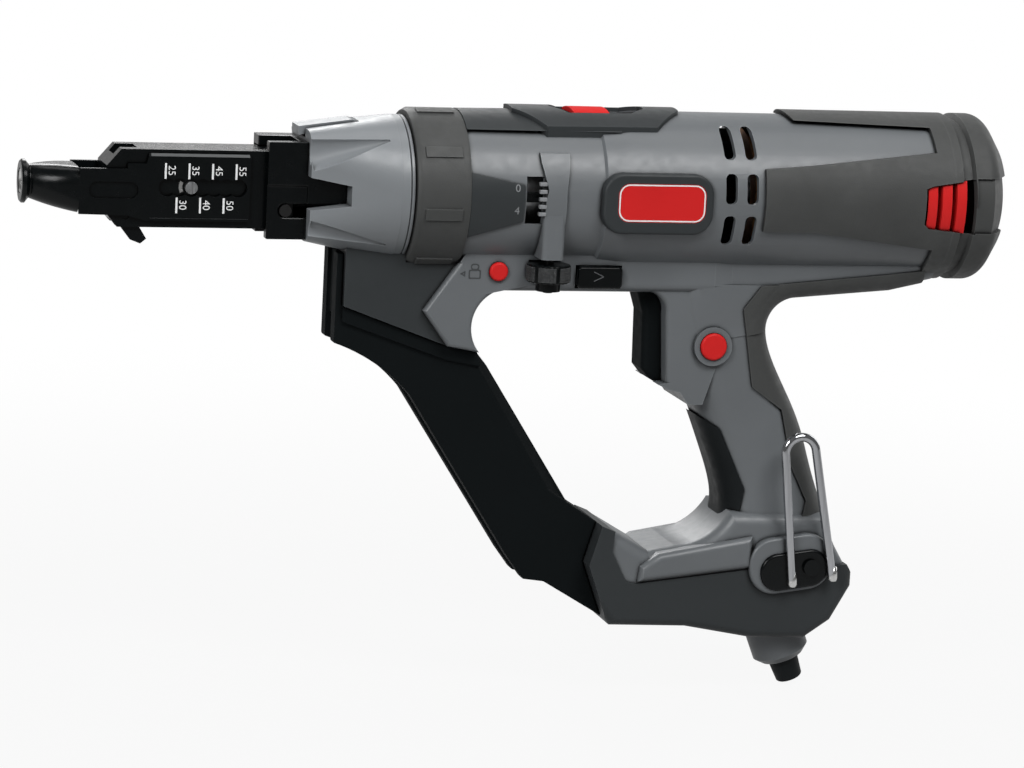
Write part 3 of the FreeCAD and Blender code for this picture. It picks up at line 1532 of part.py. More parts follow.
def make_gears():
    module = amount("gear_module")
    sun = int(amount("sun_teeth"))
    planet = int(amount("planet_teeth"))
    backlash = 0.22 * module
    width = amount("gear_width")
    orbit = module * (sun + planet) / 2
    ring_gear = gear_solid("ring_gear", circle_wire(amount("ring_outer")),
                           [gear_face(sun + 2 * planet, module, backlash, True)], width + 3)
    put(ring_gear, "gear_place - 1")
    hole = circle_wire(amount("pin_size + running_fit"))
    for index in range(3):
        item = gear_solid("planet_gear_%d" % (index + 1), gear_face(planet, module, backlash), [hole], width)
        turn = FreeCAD.Rotation(V(1, 0, 0), 120 * index)
        half_tooth = FreeCAD.Rotation(V(1, 0, 0), 120 * index + 180.0 / planet)
        item.Placement = FreeCAD.Placement(V(amount("gear_place"), 0, 0) + turn.multVec(V(0, 0, orbit)), half_tooth)
        item.setExpression("Placement.Base.x", bound("gear_place"))
    pinion = gear_solid("sun_pinion", gear_face(sun, module, backlash), [], width + 2)
    put(pinion, "gear_place - 1")
    return pinion, orbit


def make_drive(pinion, orbit):
    bit = body("driver_bit")
    lathe(bit, outline(sketch(bit, "XZ_Plane"), [
        ("bit_tip", "0"),
        ("spindle_front + 1", "0"),
        ("spindle_front + 1", "bit_neck"),
        ("bit_tip + 6", "bit_neck"),
        ("bit_tip", "0.9"),
    ]))
    shank = sketch(bit, "YZ_Plane", "spindle_front - 40")
    hexagon = []
    for index in range(6):
        across = "%.6f * bit_flats / sqrt(3)" % math.cos(math.pi / 3 * index)
        up = "%.6f * bit_flats / sqrt(3)" % math.sin(math.pi / 3 * index)
        hexagon.append((across, up))
    outline(shank, hexagon)
    pad(bit, shank, "62", False)
    flute = sketch(bit, "YZ_Plane", "bit_tip - 1")
    outline(flute, [
        ("0.45", "0.45"),
        ("3", "0.45"),
        ("3", "3"),
        ("0.45", "3"),
    ])
    feature = pocket(bit, flute, "6", False)
    feature.Reversed = True
    spin(bit, [feature], 4)
    socket = body("socket_form")
    outline(sketch(socket, "YZ_Plane", "spindle_front - 1"), [
        (across.replace("bit_flats", "(bit_flats + 0.08)"), up.replace("bit_flats", "(bit_flats + 0.08)"))
        for across, up in hexagon
    ])
    pad(socket, socket.Group[-1], "23.1", False)
    spindle = turned("spindle_form", [
        ("spindle_front", "0"),
        ("gear_place - 4", "0"),
        ("gear_place - 4", "spindle_radius + 10"),
        ("gear_place - 14", "spindle_radius + 10"),
        ("gear_place - 18", "spindle_radius"),
        ("spindle_front", "spindle_radius"),
    ])
    pins = []
    for index in range(3):
        turn = math.radians(120 * index)
        pin = rod("carrier_pin_%d" % (index + 1), "pin_size", "gear_width + 6", "gear_place - 6",
                  "%.6f" % (-orbit * math.sin(turn)), "%.6f" % (orbit * math.cos(turn)), ALONG_X)
        pins.append(pin)
    cut("spindle", fuse("spindle_with_pins", [spindle] + pins), [socket])
    turned("spindle_bearing", [
        ("spindle_front + 1", "spindle_radius + running_fit"),
        ("spindle_front + 13", "spindle_radius + running_fit"),
        ("spindle_front + 13", "spindle_bearing_radius"),
        ("spindle_front + 1", "spindle_bearing_radius"),
    ])
    turned("gear_case", [
        ("case_front", "bit_bore + 0.4"),
        ("spindle_front - 0.5", "bit_bore + 0.4"),
        ("spindle_front - 0.5", "spindle_radius + 1"),
        ("spindle_front + 1", "spindle_radius + 1"),
        ("spindle_front + 1", "spindle_bearing_radius + press_gap"),
        ("spindle_front + 14", "spindle_bearing_radius + press_gap"),
        ("spindle_front + 14", "spindle_radius + 2"),
        ("gear_place - 20", "spindle_radius + 2"),
        ("gear_place - 20", "spindle_radius + 13"),
        ("gear_place - 1", "spindle_radius + 13"),
        ("gear_place - 1", "ring_outer + press_gap"),
        ("plate_place", "ring_outer + press_gap"),
        ("plate_place", "motor_cavity - 0.1"),
        ("plate_place - 12", "motor_cavity - 0.1"),
        ("plate_place - 12", "gear_cavity - 0.1"),
        ("gear_place - 20", "gear_cavity - 0.1"),
        ("gear_place - 24", "spindle_radius + 13"),
        (GEAR + " + 6", "spindle_radius + 13"),
        (GEAR + " + 2", "gear_cavity - 1.9"),
        (COLLAR + " + 15", "gear_cavity - 1.9"),
        (COLLAR + " + 12", "spindle_bearing_radius + 5"),
        ("case_front", "spindle_bearing_radius + 3"),
    ])
    turned("motor_bearing_plate", [
        ("plate_place", "shaft_radius + 3"),
        ("plate_place + 3", "shaft_radius + 3"),
        ("plate_place + 3", "motor_bearing_radius + press_gap"),
        ("plate_place + 3 + bearing_width", "motor_bearing_radius + press_gap"),
        ("plate_place + 3 + bearing_width", "motor_bearing_radius + 4"),
        ("plate_place + 6", "motor_bearing_radius + 5"),
        ("plate_place + 6", "motor_cavity - 0.1"),
        ("plate_place", "motor_cavity - 0.1"),
    ])
    turned("front_motor_bearing", [
        ("plate_place + 3", "shaft_radius + running_fit"),
        ("plate_place + 3 + bearing_width", "shaft_radius + running_fit"),
        ("plate_place + 3 + bearing_width", "motor_bearing_radius"),
        ("plate_place + 3", "motor_bearing_radius"),
    ])
    turned("rear_motor_bearing", [
        ("rear_bearing_place", "journal_radius + running_fit"),
        ("rear_bearing_place + bearing_width", "journal_radius + running_fit"),
        ("rear_bearing_place + bearing_width", "rear_bearing_radius"),
        ("rear_bearing_place", "rear_bearing_radius"),
    ])
    shaft = turned("shaft_form", [
        ("gear_place + gear_width", "0"),
        ("rear_bearing_place + bearing_width", "0"),
        ("rear_bearing_place + bearing_width", "journal_radius"),
        ("rear_bearing_place - 1", "journal_radius"),
        ("rear_bearing_place - 1", "shaft_radius"),
        ("plate_place", "shaft_radius"),
        ("gear_place + gear_width + 3", "journal_radius - 0.4"),
        ("gear_place + gear_width", "journal_radius - 0.4"),
    ])
    fuse("armature_shaft", [shaft, pinion])


def make_motor():
    core = body("armature_core")
    disc = sketch(core, "YZ_Plane", "core_place")
    ring(disc, "0", "0", "core_radius")
    ring(disc, "0", "0", "shaft_radius + press_gap")
    pad(core, disc, "core_length", False)
    slot = sketch(core, "YZ_Plane", "core_place - 1")
    outline(slot, rounded("0", "core_radius - 2", "2.4", "7", "1"))
    feature = pocket(core, slot, "core_length + 2", False)
    feature.Reversed = True
    spin(core, [feature], 12)
    commutator = body("commutator")
    disc = sketch(commutator, "YZ_Plane", "commutator_place")
    ring(disc, "0", "0", "commutator_radius")
    ring(disc, "0", "0", "shaft_radius + press_gap")
    pad(commutator, disc, "commutator_length", False)
    gap = sketch(commutator, "YZ_Plane", "commutator_place - 1")
    outline(gap, [
        ("-0.3", "commutator_radius - 1"),
        ("0.3", "commutator_radius - 1"),
        ("0.3", "commutator_radius + 1"),
        ("-0.3", "commutator_radius + 1"),
    ])
    feature = pocket(commutator, gap, "commutator_length + 2", False)
    feature.Reversed = True
    spin(commutator, [feature], 12)
    fan = body("cooling_fan")
    lathe(fan, outline(sketch(fan, "XZ_Plane"), [
        ("fan_place", "shaft_radius + press_gap"),
        ("fan_place + fan_width", "shaft_radius + press_gap"),
        ("fan_place + fan_width", "shaft_radius + 4"),
        ("fan_place + 4", "shaft_radius + 5"),
        ("fan_place + 2", "fan_radius"),
        ("fan_place", "fan_radius"),
    ]))
    blade = sketch(fan, "YZ_Plane", "fan_place + 1")
    outline(blade, [
        ("-0.8", "shaft_radius + 2"),
        ("0.8", "shaft_radius + 2"),
        ("0.8", "fan_radius - 0.5"),
        ("-0.8", "fan_radius - 0.5"),
    ])
    spin(fan, [pad(fan, blade, "fan_width - 2", False)], 11)
    field = body("field_core")
    disc = sketch(field, "YZ_Plane", "core_place")
    ring(disc, "0", "0", "motor_cavity - 0.1")
    ring(disc, "0", "0", "field_bore")
    pad(field, disc, "core_length", False)
    bay = sketch(field, "YZ_Plane", "core_place - 1")
    outline(bay, [
        ("field_bore - 6", "-8"),
        ("motor_cavity - 6", "-8"),
        ("motor_cavity - 6", "8"),
        ("field_bore - 6", "8"),
    ])
    feature = pocket(field, bay, "core_length + 2", False)
    feature.Reversed = True
    spin(field, [feature], 2)
    coils = []
    for name, start in (("front", "core_place - 5"), ("rear", "core_place + core_length")):
        hoop = turned("coil_" + name, [
            (start, "field_bore + 1.5"),
            (start + " + 5", "field_bore + 1.5"),
            (start + " + 5", "motor_cavity - 3"),
            (start, "motor_cavity - 3"),
        ])
        coils.append(hoop)
    left = ("-motor_cavity + 6.1", "-field_bore - 1")
    right = ("field_bore + 1", "motor_cavity - 6.1")
    for name, y in (("left", left), ("right", right)):
        coils.append(block("coil_side_" + name, ("core_place - 2", "core_place + core_length + 2"), y,
                           ("-7.8", "7.8")))
    fuse("field_windings", coils)
    holders = []
    brushes = []
    for name, sign in (("left", "-"), ("right", "")):
        near = "commutator_radius + 2" if sign == "" else "-motor_cavity + 0.6"
        far = "motor_cavity - 0.6" if sign == "" else "-commutator_radius - 2"
        outer = block("holder_" + name, ("commutator_place + 3", "commutator_place + 13"), (near, far),
                      ("-5.6", "5.6"))
        inner = block("holder_way_" + name, ("commutator_place + 4.4", "commutator_place + 11.6"), ("-60", "60"),
                      ("-4.1", "4.1"))
        holders.append(cut("holder_tube_" + name, outer, [inner]))
        reach = ("commutator_radius + 0.1", "motor_cavity - 6") if sign == "" else (
            "-motor_cavity + 6", "-commutator_radius - 0.1")
        brushes.append(block("brush_" + name, ("commutator_place + 4.5", "commutator_place + 11.5"), reach,
                             ("-4", "4")))
    fuse("brush_holders", holders)
    fuse("carbon_brushes", brushes)


def make_rear_cap():
    owner = turned("cap_form", [
        (CAP, "cap_radius - cap_wall"),
        (REAR + " - cap_taper - 2.5", "cap_radius - cap_wall - 0.2"),
        (REAR + " - cap_back", "cap_radius - cap_shrink - 2"),
        (REAR + " - cap_back", "rear_bearing_radius + 3.5"),
        ("rear_bearing_place", "rear_bearing_radius + 3.5"),
        ("rear_bearing_place", "rear_bearing_radius + press_gap"),
        ("rear_bearing_place + bearing_width", "rear_bearing_radius + press_gap"),
        ("rear_bearing_place + bearing_width", "0"),
        (REAR, "0"),
        (REAR, "cap_radius - cap_shrink"),
        (REAR + " - cap_taper", "cap_radius"),
        (CAP + " + groove_front + groove_wide", "cap_radius"),
        (CAP + " + groove_front + groove_wide - 1", "cap_radius - groove_deep"),
        (CAP + " + groove_front + 1", "cap_radius - groove_deep"),
        (CAP + " + groove_front", "cap_radius"),
        (CAP, "cap_radius"),
    ])
    end = amount(REAR)
    corner = amount(REAR + " - cap_taper")
    least = 1.9 * amount("cap_radius - cap_shrink")
    outer = 1.99 * amount("cap_radius")
    def chosen(edge):
        box = edge.BoundBox
        at_end = abs(box.XMin - end) < 0.01 and box.YLength > least
        at_corner = abs(box.XMin - corner) < 0.01 and box.YLength > outer
        return box.XLength < 0.01 and (at_end or at_corner)
    soften(owner, "cap_round", chosen)
    core = turned("claw_core", [
        (CAP, "0"),
        (REAR + " - claw_deep", "0"),
        (REAR + " - claw_deep", "cap_radius - cap_shrink - claw_deep"),
        (REAR + " - cap_taper - claw_deep", "cap_radius - claw_deep"),
        (CAP, "cap_radius - claw_deep"),
    ])
    band = block("claw_band", (CAP + " + claw_front", REAR + " + 1"), ("-cap_radius - 1", "cap_radius + 1"),
                 ("-claw_half", "claw_half"))
    return cut("rear_cap", owner, [DOC.getObject("rear_window_hollow"), cut("claw_recess", band, [core])])


def make_louvres():
    start = CAP + " - fin_front"
    end = start + " + 2 * fin_pitch + fin_wide"
    sleeve = turned("louvre_sleeve", [
        (start + " - 2", "motor_cavity - 2"),
        (end, "motor_cavity - 2"),
        (end, "motor_cavity - 0.1"),
        (start + " - 2", "motor_cavity - 0.1"),
    ])
    reach = slab("louvre_reach", window_corners(), "barrel_radius + 20")
    fins = []
    gaps = []
    for index in range(3):
        near = start + " + %d * fin_pitch" % index
        far = near + " + fin_wide"
        fins.append(turned("louvre_fin_%d" % (index + 1), [
            (near, "motor_cavity - 1"),
            (far, "motor_cavity - 1"),
            (far, "cap_radius - fin_sink"),
            (near, "cap_radius - fin_sink"),
        ]))
        gaps.append(turned("louvre_gap_%d" % (index + 1), [
            (near + " - fin_pitch + fin_wide", "motor_cavity - 3"),
            (near, "motor_cavity - 3"),
            (near, "motor_cavity + 1"),
            (near + " - fin_pitch + fin_wide", "motor_cavity + 1"),
        ]))
    blades = common("louvre_blades", [fuse("louvre_fins", fins), reach])
    slots = common("louvre_slots", [fuse("louvre_gaps", gaps), reach])
    return fuse("vent_louvres", [cut("louvre_hoop", sleeve, [slots]), blades])


def make_top(tube):
    band = turned("cover_band", [
        (GEAR, "gear_radius - 0.2"),
        (BARREL + " + 6", "gear_radius - 0.2"),
        (BARREL + " + 6", "collar_radius + 0.7"),
        (GEAR, "collar_radius"),
    ])
    above = block("cover_reach", (GEAR, CAP), ("-barrel_radius - 20", "barrel_radius + 20"),
                  ("gear_radius - 5", "barrel_radius + 20"))
    crown = common("cover_crown", [band, above])
    saddle = turned("bezel_band", [
        (GEAR + " + bezel_front", "gear_radius - 0.2"),
        (GEAR + " + bezel_rear", "gear_radius - 0.2"),
        (GEAR + " + bezel_rear", "bezel_radius"),
        (GEAR + " + bezel_front", "bezel_radius"),
    ])
    bezel = common("bezel_saddle", [saddle, plan_form("bezel_form", "bezel")])
    cut("top_cover", fuse("cover_with_bezel", [crown, bezel]), [tube, DOC.getObject("slider_hollow")])
    head = rod("slider_head", "gear_radius + slider_top", "slider_rear - slider_front", GEAR + " + slider_front",
               turn=ALONG_X)
    reach = block("slider_reach", (GEAR + " + slider_front", GEAR + " + slider_rear"),
                  ("-slider_half", "slider_half"), ("floor_radius + slider_lift", "gear_radius + 20"))
    common("top_slider", [head, reach])


def make_side_panels():
    skin = turned("wedge_skin", [
        (GEAR, "gear_radius"),
        (BARREL + " - 5", "gear_radius"),
        (BARREL + " - 5", "gear_radius + panel_skin"),
        (GEAR, "gear_radius + panel_skin"),
    ])
    reach = [side("wedge_low"), side("wedge_tail_low"), side("wedge_tail_top"), side("wedge_top")]
    for name, y in (("left", ("-60", "-1")), ("right", ("1", "60"))):
        common("side_panel_" + name, [
            skin, slab("wedge_reach_" + name, reach, "50"),
            block("wedge_half_" + name, ("100", "400"), y, ("-60", "60")),
        ])


def make_badges(tube):
    for name, sign in (("left", 1), ("right", -1)):
        bezel = body("badge_form_" + name)
        plane = "20" if sign > 0 else "-badge_face"
        outline(sketch(bezel, "XZ_Plane", plane),
                rounded(GEAR + " + badge_place", "badge_height", "badge_long", "badge_tall", "9"))
        pad(bezel, bezel.Group[-1], "badge_face - 20", False)
        face = -sign * amount("badge_face")
        soften(bezel, "1.4", lambda edge: abs(edge.BoundBox.YMin - face) < 0.01 and edge.BoundBox.YLength < 0.01)
        well = body("badge_well_" + name)
        plane = "badge_face - 0.9" if sign > 0 else "-badge_face - 5"
        outline(sketch(well, "XZ_Plane", plane),
                rounded(GEAR + " + plate_place_back", "plate_height", "plate_long + 0.1", "plate_tall + 0.1", "5"))
        pad(well, well.Group[-1], "5.9", False)
        cut("badge_bezel_" + name, bezel, [tube, well])
        plate = body("badge_plate_" + name)
        plane = "badge_face - 0.9" if sign > 0 else "-badge_face + 0.2"
        outline(sketch(plate, "XZ_Plane", plane),
                rounded(GEAR + " + plate_place_back", "plate_height", "plate_long", "plate_tall", "5"))
        pad(plate, plate.Group[-1], "0.7", False)


def make_controls():
    trigger = body("trigger")
    outline(sketch(trigger, "XZ_Plane"), [
        side("trigger_brow"), side("trigger_top"), side("trigger_low"), side("trigger_chin"), side("trigger_tip"),
        side("trigger_heel"), (GEAR + " + trigger_rear", "trigger_heel_z"),
        (GEAR + " + trigger_rear", "trigger_brow_z"),
    ])
    pad(trigger, trigger.Group[-1], "2 * trigger_half")
    half = amount("trigger_half")
    rear = amount(GEAR + " + trigger_rear - 5")
    def chosen(edge):
        box = edge.BoundBox
        return box.YLength < 0.01 and abs(abs(box.YMin) - half) < 0.01 and box.XMax < rear and box.ZLength > 3
    soften(trigger, "2.6", chosen)
    block("trigger_switch", (SWITCH, GEAR + " + switch_rear"), ("-switch_half", "switch_half"),
          ("switch_bottom", "switch_top"))
    lock = rod("lock_stem", "lock_radius", "lock_face - lock_inner", GEAR + " + lock_place", "-lock_face",
               "lock_height", ALONG_Y)
    lock_top = DOC.addObject("Part::Fillet", "lock_button")
    release = rod("release_stem", "release_radius", "9", GEAR + " + release_place", "-spine_half - 2",
                  "release_height", ALONG_Y)
    release_top = DOC.addObject("Part::Fillet", "release_button")
    DOC.recompute()
    for stem, top in ((lock, lock_top), (release, release_top)):
        face = min(edge.BoundBox.YMin for edge in stem.Shape.Edges)
        top.Base = stem
        top.Edges = [(index, 1.2, 1.2) for index, edge in enumerate(stem.Shape.Edges, start=1)
                     if edge.BoundBox.YMax < face + 0.01]
    reverse = body("reverse_switch")
    outline(sketch(reverse, "XZ_Plane"),
            rounded(GEAR + " + reverse_place", "reverse_height", "reverse_long", "reverse_tall", "2"))
    pad(reverse, reverse.Group[-1], "2 * (spine_half + reverse_proud)")
    proud = amount("spine_half + reverse_proud")
    soften(reverse, "1", on_flank(proud))
    wheel = body("depth_wheel")
    lead = sketch(wheel, "XY_Plane", "wheel_top - wheel_thick")
    ring(lead, "0", "0", "wheel_radius")
    pad(wheel, lead, "wheel_thick", False)
    soften(wheel, "0.8", lambda edge: edge.BoundBox.XLength > 4)
    notch = sketch(wheel, "XY_Plane", "wheel_top - wheel_thick - 1")
    ring(notch, "wheel_radius + 0.4", "0", "0.9")
    feature = pocket(wheel, notch, "wheel_thick + 2", False)
    feature.Reversed = True
    spin(wheel, [feature], 24, "Z_Axis")
    stem = sketch(wheel, "XY_Plane", "lead_foot")
    ring(stem, "0", "0", "lead_radius")
    pad(wheel, stem, "boss_front_top_z + 36", False)
    hub = sketch(wheel, "XY_Plane", "wheel_top - wheel_thick - hub_drop")
    ring(hub, "0", "0", "hub_radius")
    pad(wheel, hub, "hub_drop + 1", False)
    put(wheel, GEAR + " + lead_place", "-lead_side", "0")
    nut = body("depth_pointer")
    outline(sketch(nut, "XY_Plane", "-2"), [
        ("-11.5", "-1.5"), ("-4.4", "-1.5"), ("-4.4", "-1.8"), ("4.4", "-1.8"),
        ("4.4", "4.2"), ("-4.4", "4.2"), ("-4.4", "1.5"), ("-11.5", "1.5"),
    ])
    pad(nut, nut.Group[-1], "4", False)
    thread = sketch(nut, "XY_Plane", "-3")
    ring(thread, "0", "0", "lead_radius + running_fit")
    feature = pocket(nut, thread, "6", False)
    feature.Reversed = True
    put(nut, GEAR + " + lead_place", "-lead_side", "0")


def touch(point, middle, radius, sign):
    """Where the straight line from a point meets an arch without a kink."""
    reach = point - middle
    turn = sign * math.acos(radius / reach.Length)
    across = reach.x * math.cos(turn) - reach.z * math.sin(turn)
    up = reach.x * math.sin(turn) + reach.z * math.cos(turn)
    return middle + V(across, 0, up) * (radius / reach.Length)


def place(word, out):
    """Named corner at a distance out on the left side."""
    across, up = side(word)
    return V(amount(across), -amount(out), amount(up))


def make_hook():
    owner = tilted("insert_form", "insert_middle", "insert_long", "insert_tall", "insert_corner",
                   "base_half - 3", "block_face")
    face = amount("block_face")
    soften(owner, "1.2", lambda edge: abs(edge.BoundBox.YMin + face) < 0.01 and edge.BoundBox.YLength < 0.01)
    left = place("hook_left", "hook_side")
    right = place("hook_right", "hook_side")
    arch = place("hook_arch", "hook_side")
    bend = amount("hook_bend")
    rise = touch(left, arch, bend, -1)
    fall = touch(right, arch, bend, 1)
    crown = (rise + fall) / 2 - arch
    crown = arch - crown.normalize() * bend if crown.z < 0 else arch + crown.normalize() * bend
    path = Part.Wire([
        Part.LineSegment(left, rise).toShape(),
        Part.Arc(rise, crown, fall).toShape(),
        Part.LineSegment(fall, right).toShape(),
    ])
    along = (rise - left).normalize()
    wire = amount("wire_radius")
    hook = DOC.addObject("Part::Feature", "belt_hook")
    hook.Shape = path.makePipeShell([Part.Wire([Part.Circle(left, along, wire).toShape()])], True, False)
    groove = DOC.addObject("Part::Feature", "hook_groove")
    around = Part.Wire([Part.Circle(left, along, wire + amount("press_gap")).toShape()])
    groove.Shape = path.makePipeShell([around], True, False)
    bolt = GEAR + " + hook_bolt_x"
    cut("hook_block", owner, [groove, DOC.getObject("hook_screw_way")])
    fuse("hook_screw", [
        rod("hook_screw_head", "hook_screw_cap", "1.8", bolt, "-block_face - 1.8", "hook_bolt_z", ALONG_Y),
        rod("hook_screw_stem", "hook_thread - press_gap", "14", bolt, "-block_face", "hook_bolt_z", ALONG_Y),
    ])


def make_cable_entry():
    lean = FreeCAD.Rotation(V(0, 1, 0), 180 - amount("collar_lean"))
    collar = body("cable_collar_form")
    lathe(collar, outline(sketch(collar, "XZ_Plane"), [
        ("cable_radius + 2.2", "-9"),
        ("cable_collar_radius", "-9"),
        ("cable_collar_radius", "cable_collar_drop - 3"),
        ("cable_collar_radius - 3", "cable_collar_drop"),
        ("cable_radius + 2.2", "cable_collar_drop"),
    ]), "Z_Axis")
    put(collar, GEAR + " + cable_place", "0", "cable_height", lean)
    cut("cable_collar", collar, [DOC.getObject("guard_form")])
    boot = body("cable_boot")
    lathe(boot, outline(sketch(boot, "XZ_Plane"), [
        ("cable_radius", "2.5"),
        ("cable_radius", "boot_drop"),
        ("boot_tip_radius - 0.6", "boot_drop"),
        ("boot_tip_radius", "boot_drop - 0.8"),
        ("boot_radius", "cable_collar_drop + 0.05"),
        ("cable_radius + 2.15", "cable_collar_drop + 0.05"),
        ("cable_radius + 2.15", "2.5"),
    ]), "Z_Axis")
    put(boot, GEAR + " + cable_place", "0", "cable_height", lean)


def make_all():
    make_housing()
    tube = DOC.getObject("tube_form")
    make_screws()
    make_overmoulds(DOC.getObject("handle_form"), DOC.getObject("tail_form"), tube)
    make_base_guard()
    make_strip_guide()
    cone = make_cone()
    make_strip_bracket(cone, tube)
    make_collar()
    make_nose_cone(cone)
    make_feed_bracket()
    make_nosepiece()
    make_slide()
    make_slide_fittings()
    helix_tube("slide_spring", 6.9, 0.7, amount("spring_seat"), amount("case_front"), 11)
    pinion, orbit = make_gears()
    make_drive(pinion, orbit)
    make_motor()
    make_rear_cap()
    make_louvres()
    make_top(tube)
    make_side_panels()
    make_badges(tube)
    make_controls()
    make_hook()
    make_cable_entry()
    DOC.recompute()


NODES = [
    "housing_left", "housing_right", "rear_cap", "vent_louvres", "barrel_overmould", "badge_bezel_left",
    "badge_bezel_right", "badge_plate_left", "badge_plate_right", "top_cover", "side_panel_left",
    "side_panel_right", "front_collar", "strip_bracket", "nose_cone", "feed_bracket", "strip_guide",
    "handle_grip_back", "handle_grip_front", "base_guard", "hook_block", "belt_hook", "hook_screw",
    "cable_collar", "cable_boot", "housing_screws", "gear_case", "ring_gear", "spindle_bearing",
    "motor_bearing_plate", "front_motor_bearing", "rear_motor_bearing", "field_core", "field_windings",
    "brush_holders", "carbon_brushes", "trigger_switch", "trigger", "lock_button", "release_button",
    "reverse_switch", "depth_wheel", "depth_pointer", "top_slider", "slide_body", "index_pin", "guide_roller",
    "slide_spring", "nosepiece", "strip_pawl", "feed_sprocket", "armature_shaft", "armature_core",
    "commutator", "cooling_fan", "spindle", "driver_bit", "planet_gear_1", "planet_gear_2", "planet_gear_3",
]


def write_parts():
    for item in DOC.Objects:
        if "Invalid" in item.State or "Error" in item.State:
            raise RuntimeError("not built: " + item.Name)
    os.makedirs("parts", exist_ok=True)
    for name in NODES:
        item = DOC.getObject(name)
        item.Label = name
        if item.Shape.isNull() or not item.Shape.isValid():
            raise RuntimeError("bad shape: " + name)
        item.Shape.exportStep("parts/%s.step" % name)


make_all()
write_parts()
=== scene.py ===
import json
import math

import bmesh
import bpy
from mathutils import Matrix, Vector
from mathutils.bvhtree import BVHTree


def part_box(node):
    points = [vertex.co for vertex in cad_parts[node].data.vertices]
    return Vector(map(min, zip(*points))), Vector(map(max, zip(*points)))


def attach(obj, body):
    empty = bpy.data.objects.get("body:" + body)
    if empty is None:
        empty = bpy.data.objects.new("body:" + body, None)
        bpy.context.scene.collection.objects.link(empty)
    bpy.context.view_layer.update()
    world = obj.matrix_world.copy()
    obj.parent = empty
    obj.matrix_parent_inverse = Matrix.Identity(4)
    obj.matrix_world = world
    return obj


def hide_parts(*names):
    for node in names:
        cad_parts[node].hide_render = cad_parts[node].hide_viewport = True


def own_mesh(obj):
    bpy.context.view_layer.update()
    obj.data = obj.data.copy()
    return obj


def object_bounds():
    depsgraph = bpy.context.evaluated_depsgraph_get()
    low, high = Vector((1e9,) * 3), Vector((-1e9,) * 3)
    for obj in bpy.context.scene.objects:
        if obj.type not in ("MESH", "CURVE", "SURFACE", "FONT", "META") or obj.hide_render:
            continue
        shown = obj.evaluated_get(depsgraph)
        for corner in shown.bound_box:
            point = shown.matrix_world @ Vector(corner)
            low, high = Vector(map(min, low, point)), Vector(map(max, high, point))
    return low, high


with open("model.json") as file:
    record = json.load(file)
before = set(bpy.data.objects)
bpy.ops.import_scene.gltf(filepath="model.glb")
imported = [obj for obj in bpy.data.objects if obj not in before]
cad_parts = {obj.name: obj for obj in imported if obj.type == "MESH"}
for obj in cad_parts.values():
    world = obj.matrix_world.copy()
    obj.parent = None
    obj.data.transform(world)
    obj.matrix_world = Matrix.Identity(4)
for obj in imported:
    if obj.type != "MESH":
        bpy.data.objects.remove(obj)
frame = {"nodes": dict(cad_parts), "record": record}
cad_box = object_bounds()
NODES = frame["nodes"]
NODE_SLOTS = {entry["node"]: entry["material_slot"] for entry in frame["record"]["subparts"]}
MM = 0.001


# Materials: every one is made of nodes in the object's own coordinates.
NOISE_RANGE = (0.3, 0.7)  # the part of a noise's values that is put to use
EDGE_MATCH = (0.995, 0.86)  # how well the rounded normal fits: flat face, full edge
OPENNESS = (0.5, 0.88)  # how open a point is: deep in a seam, clear of it
SEAM_REACH = 0.0022  # how far from an inner corner the painted shade reaches, in metres
SEAM_SHADE = 0.08  # share of the colour that the painted shade leaves deep in a seam
MOTTLE = 0.06  # how far moulded plastic varies in tone


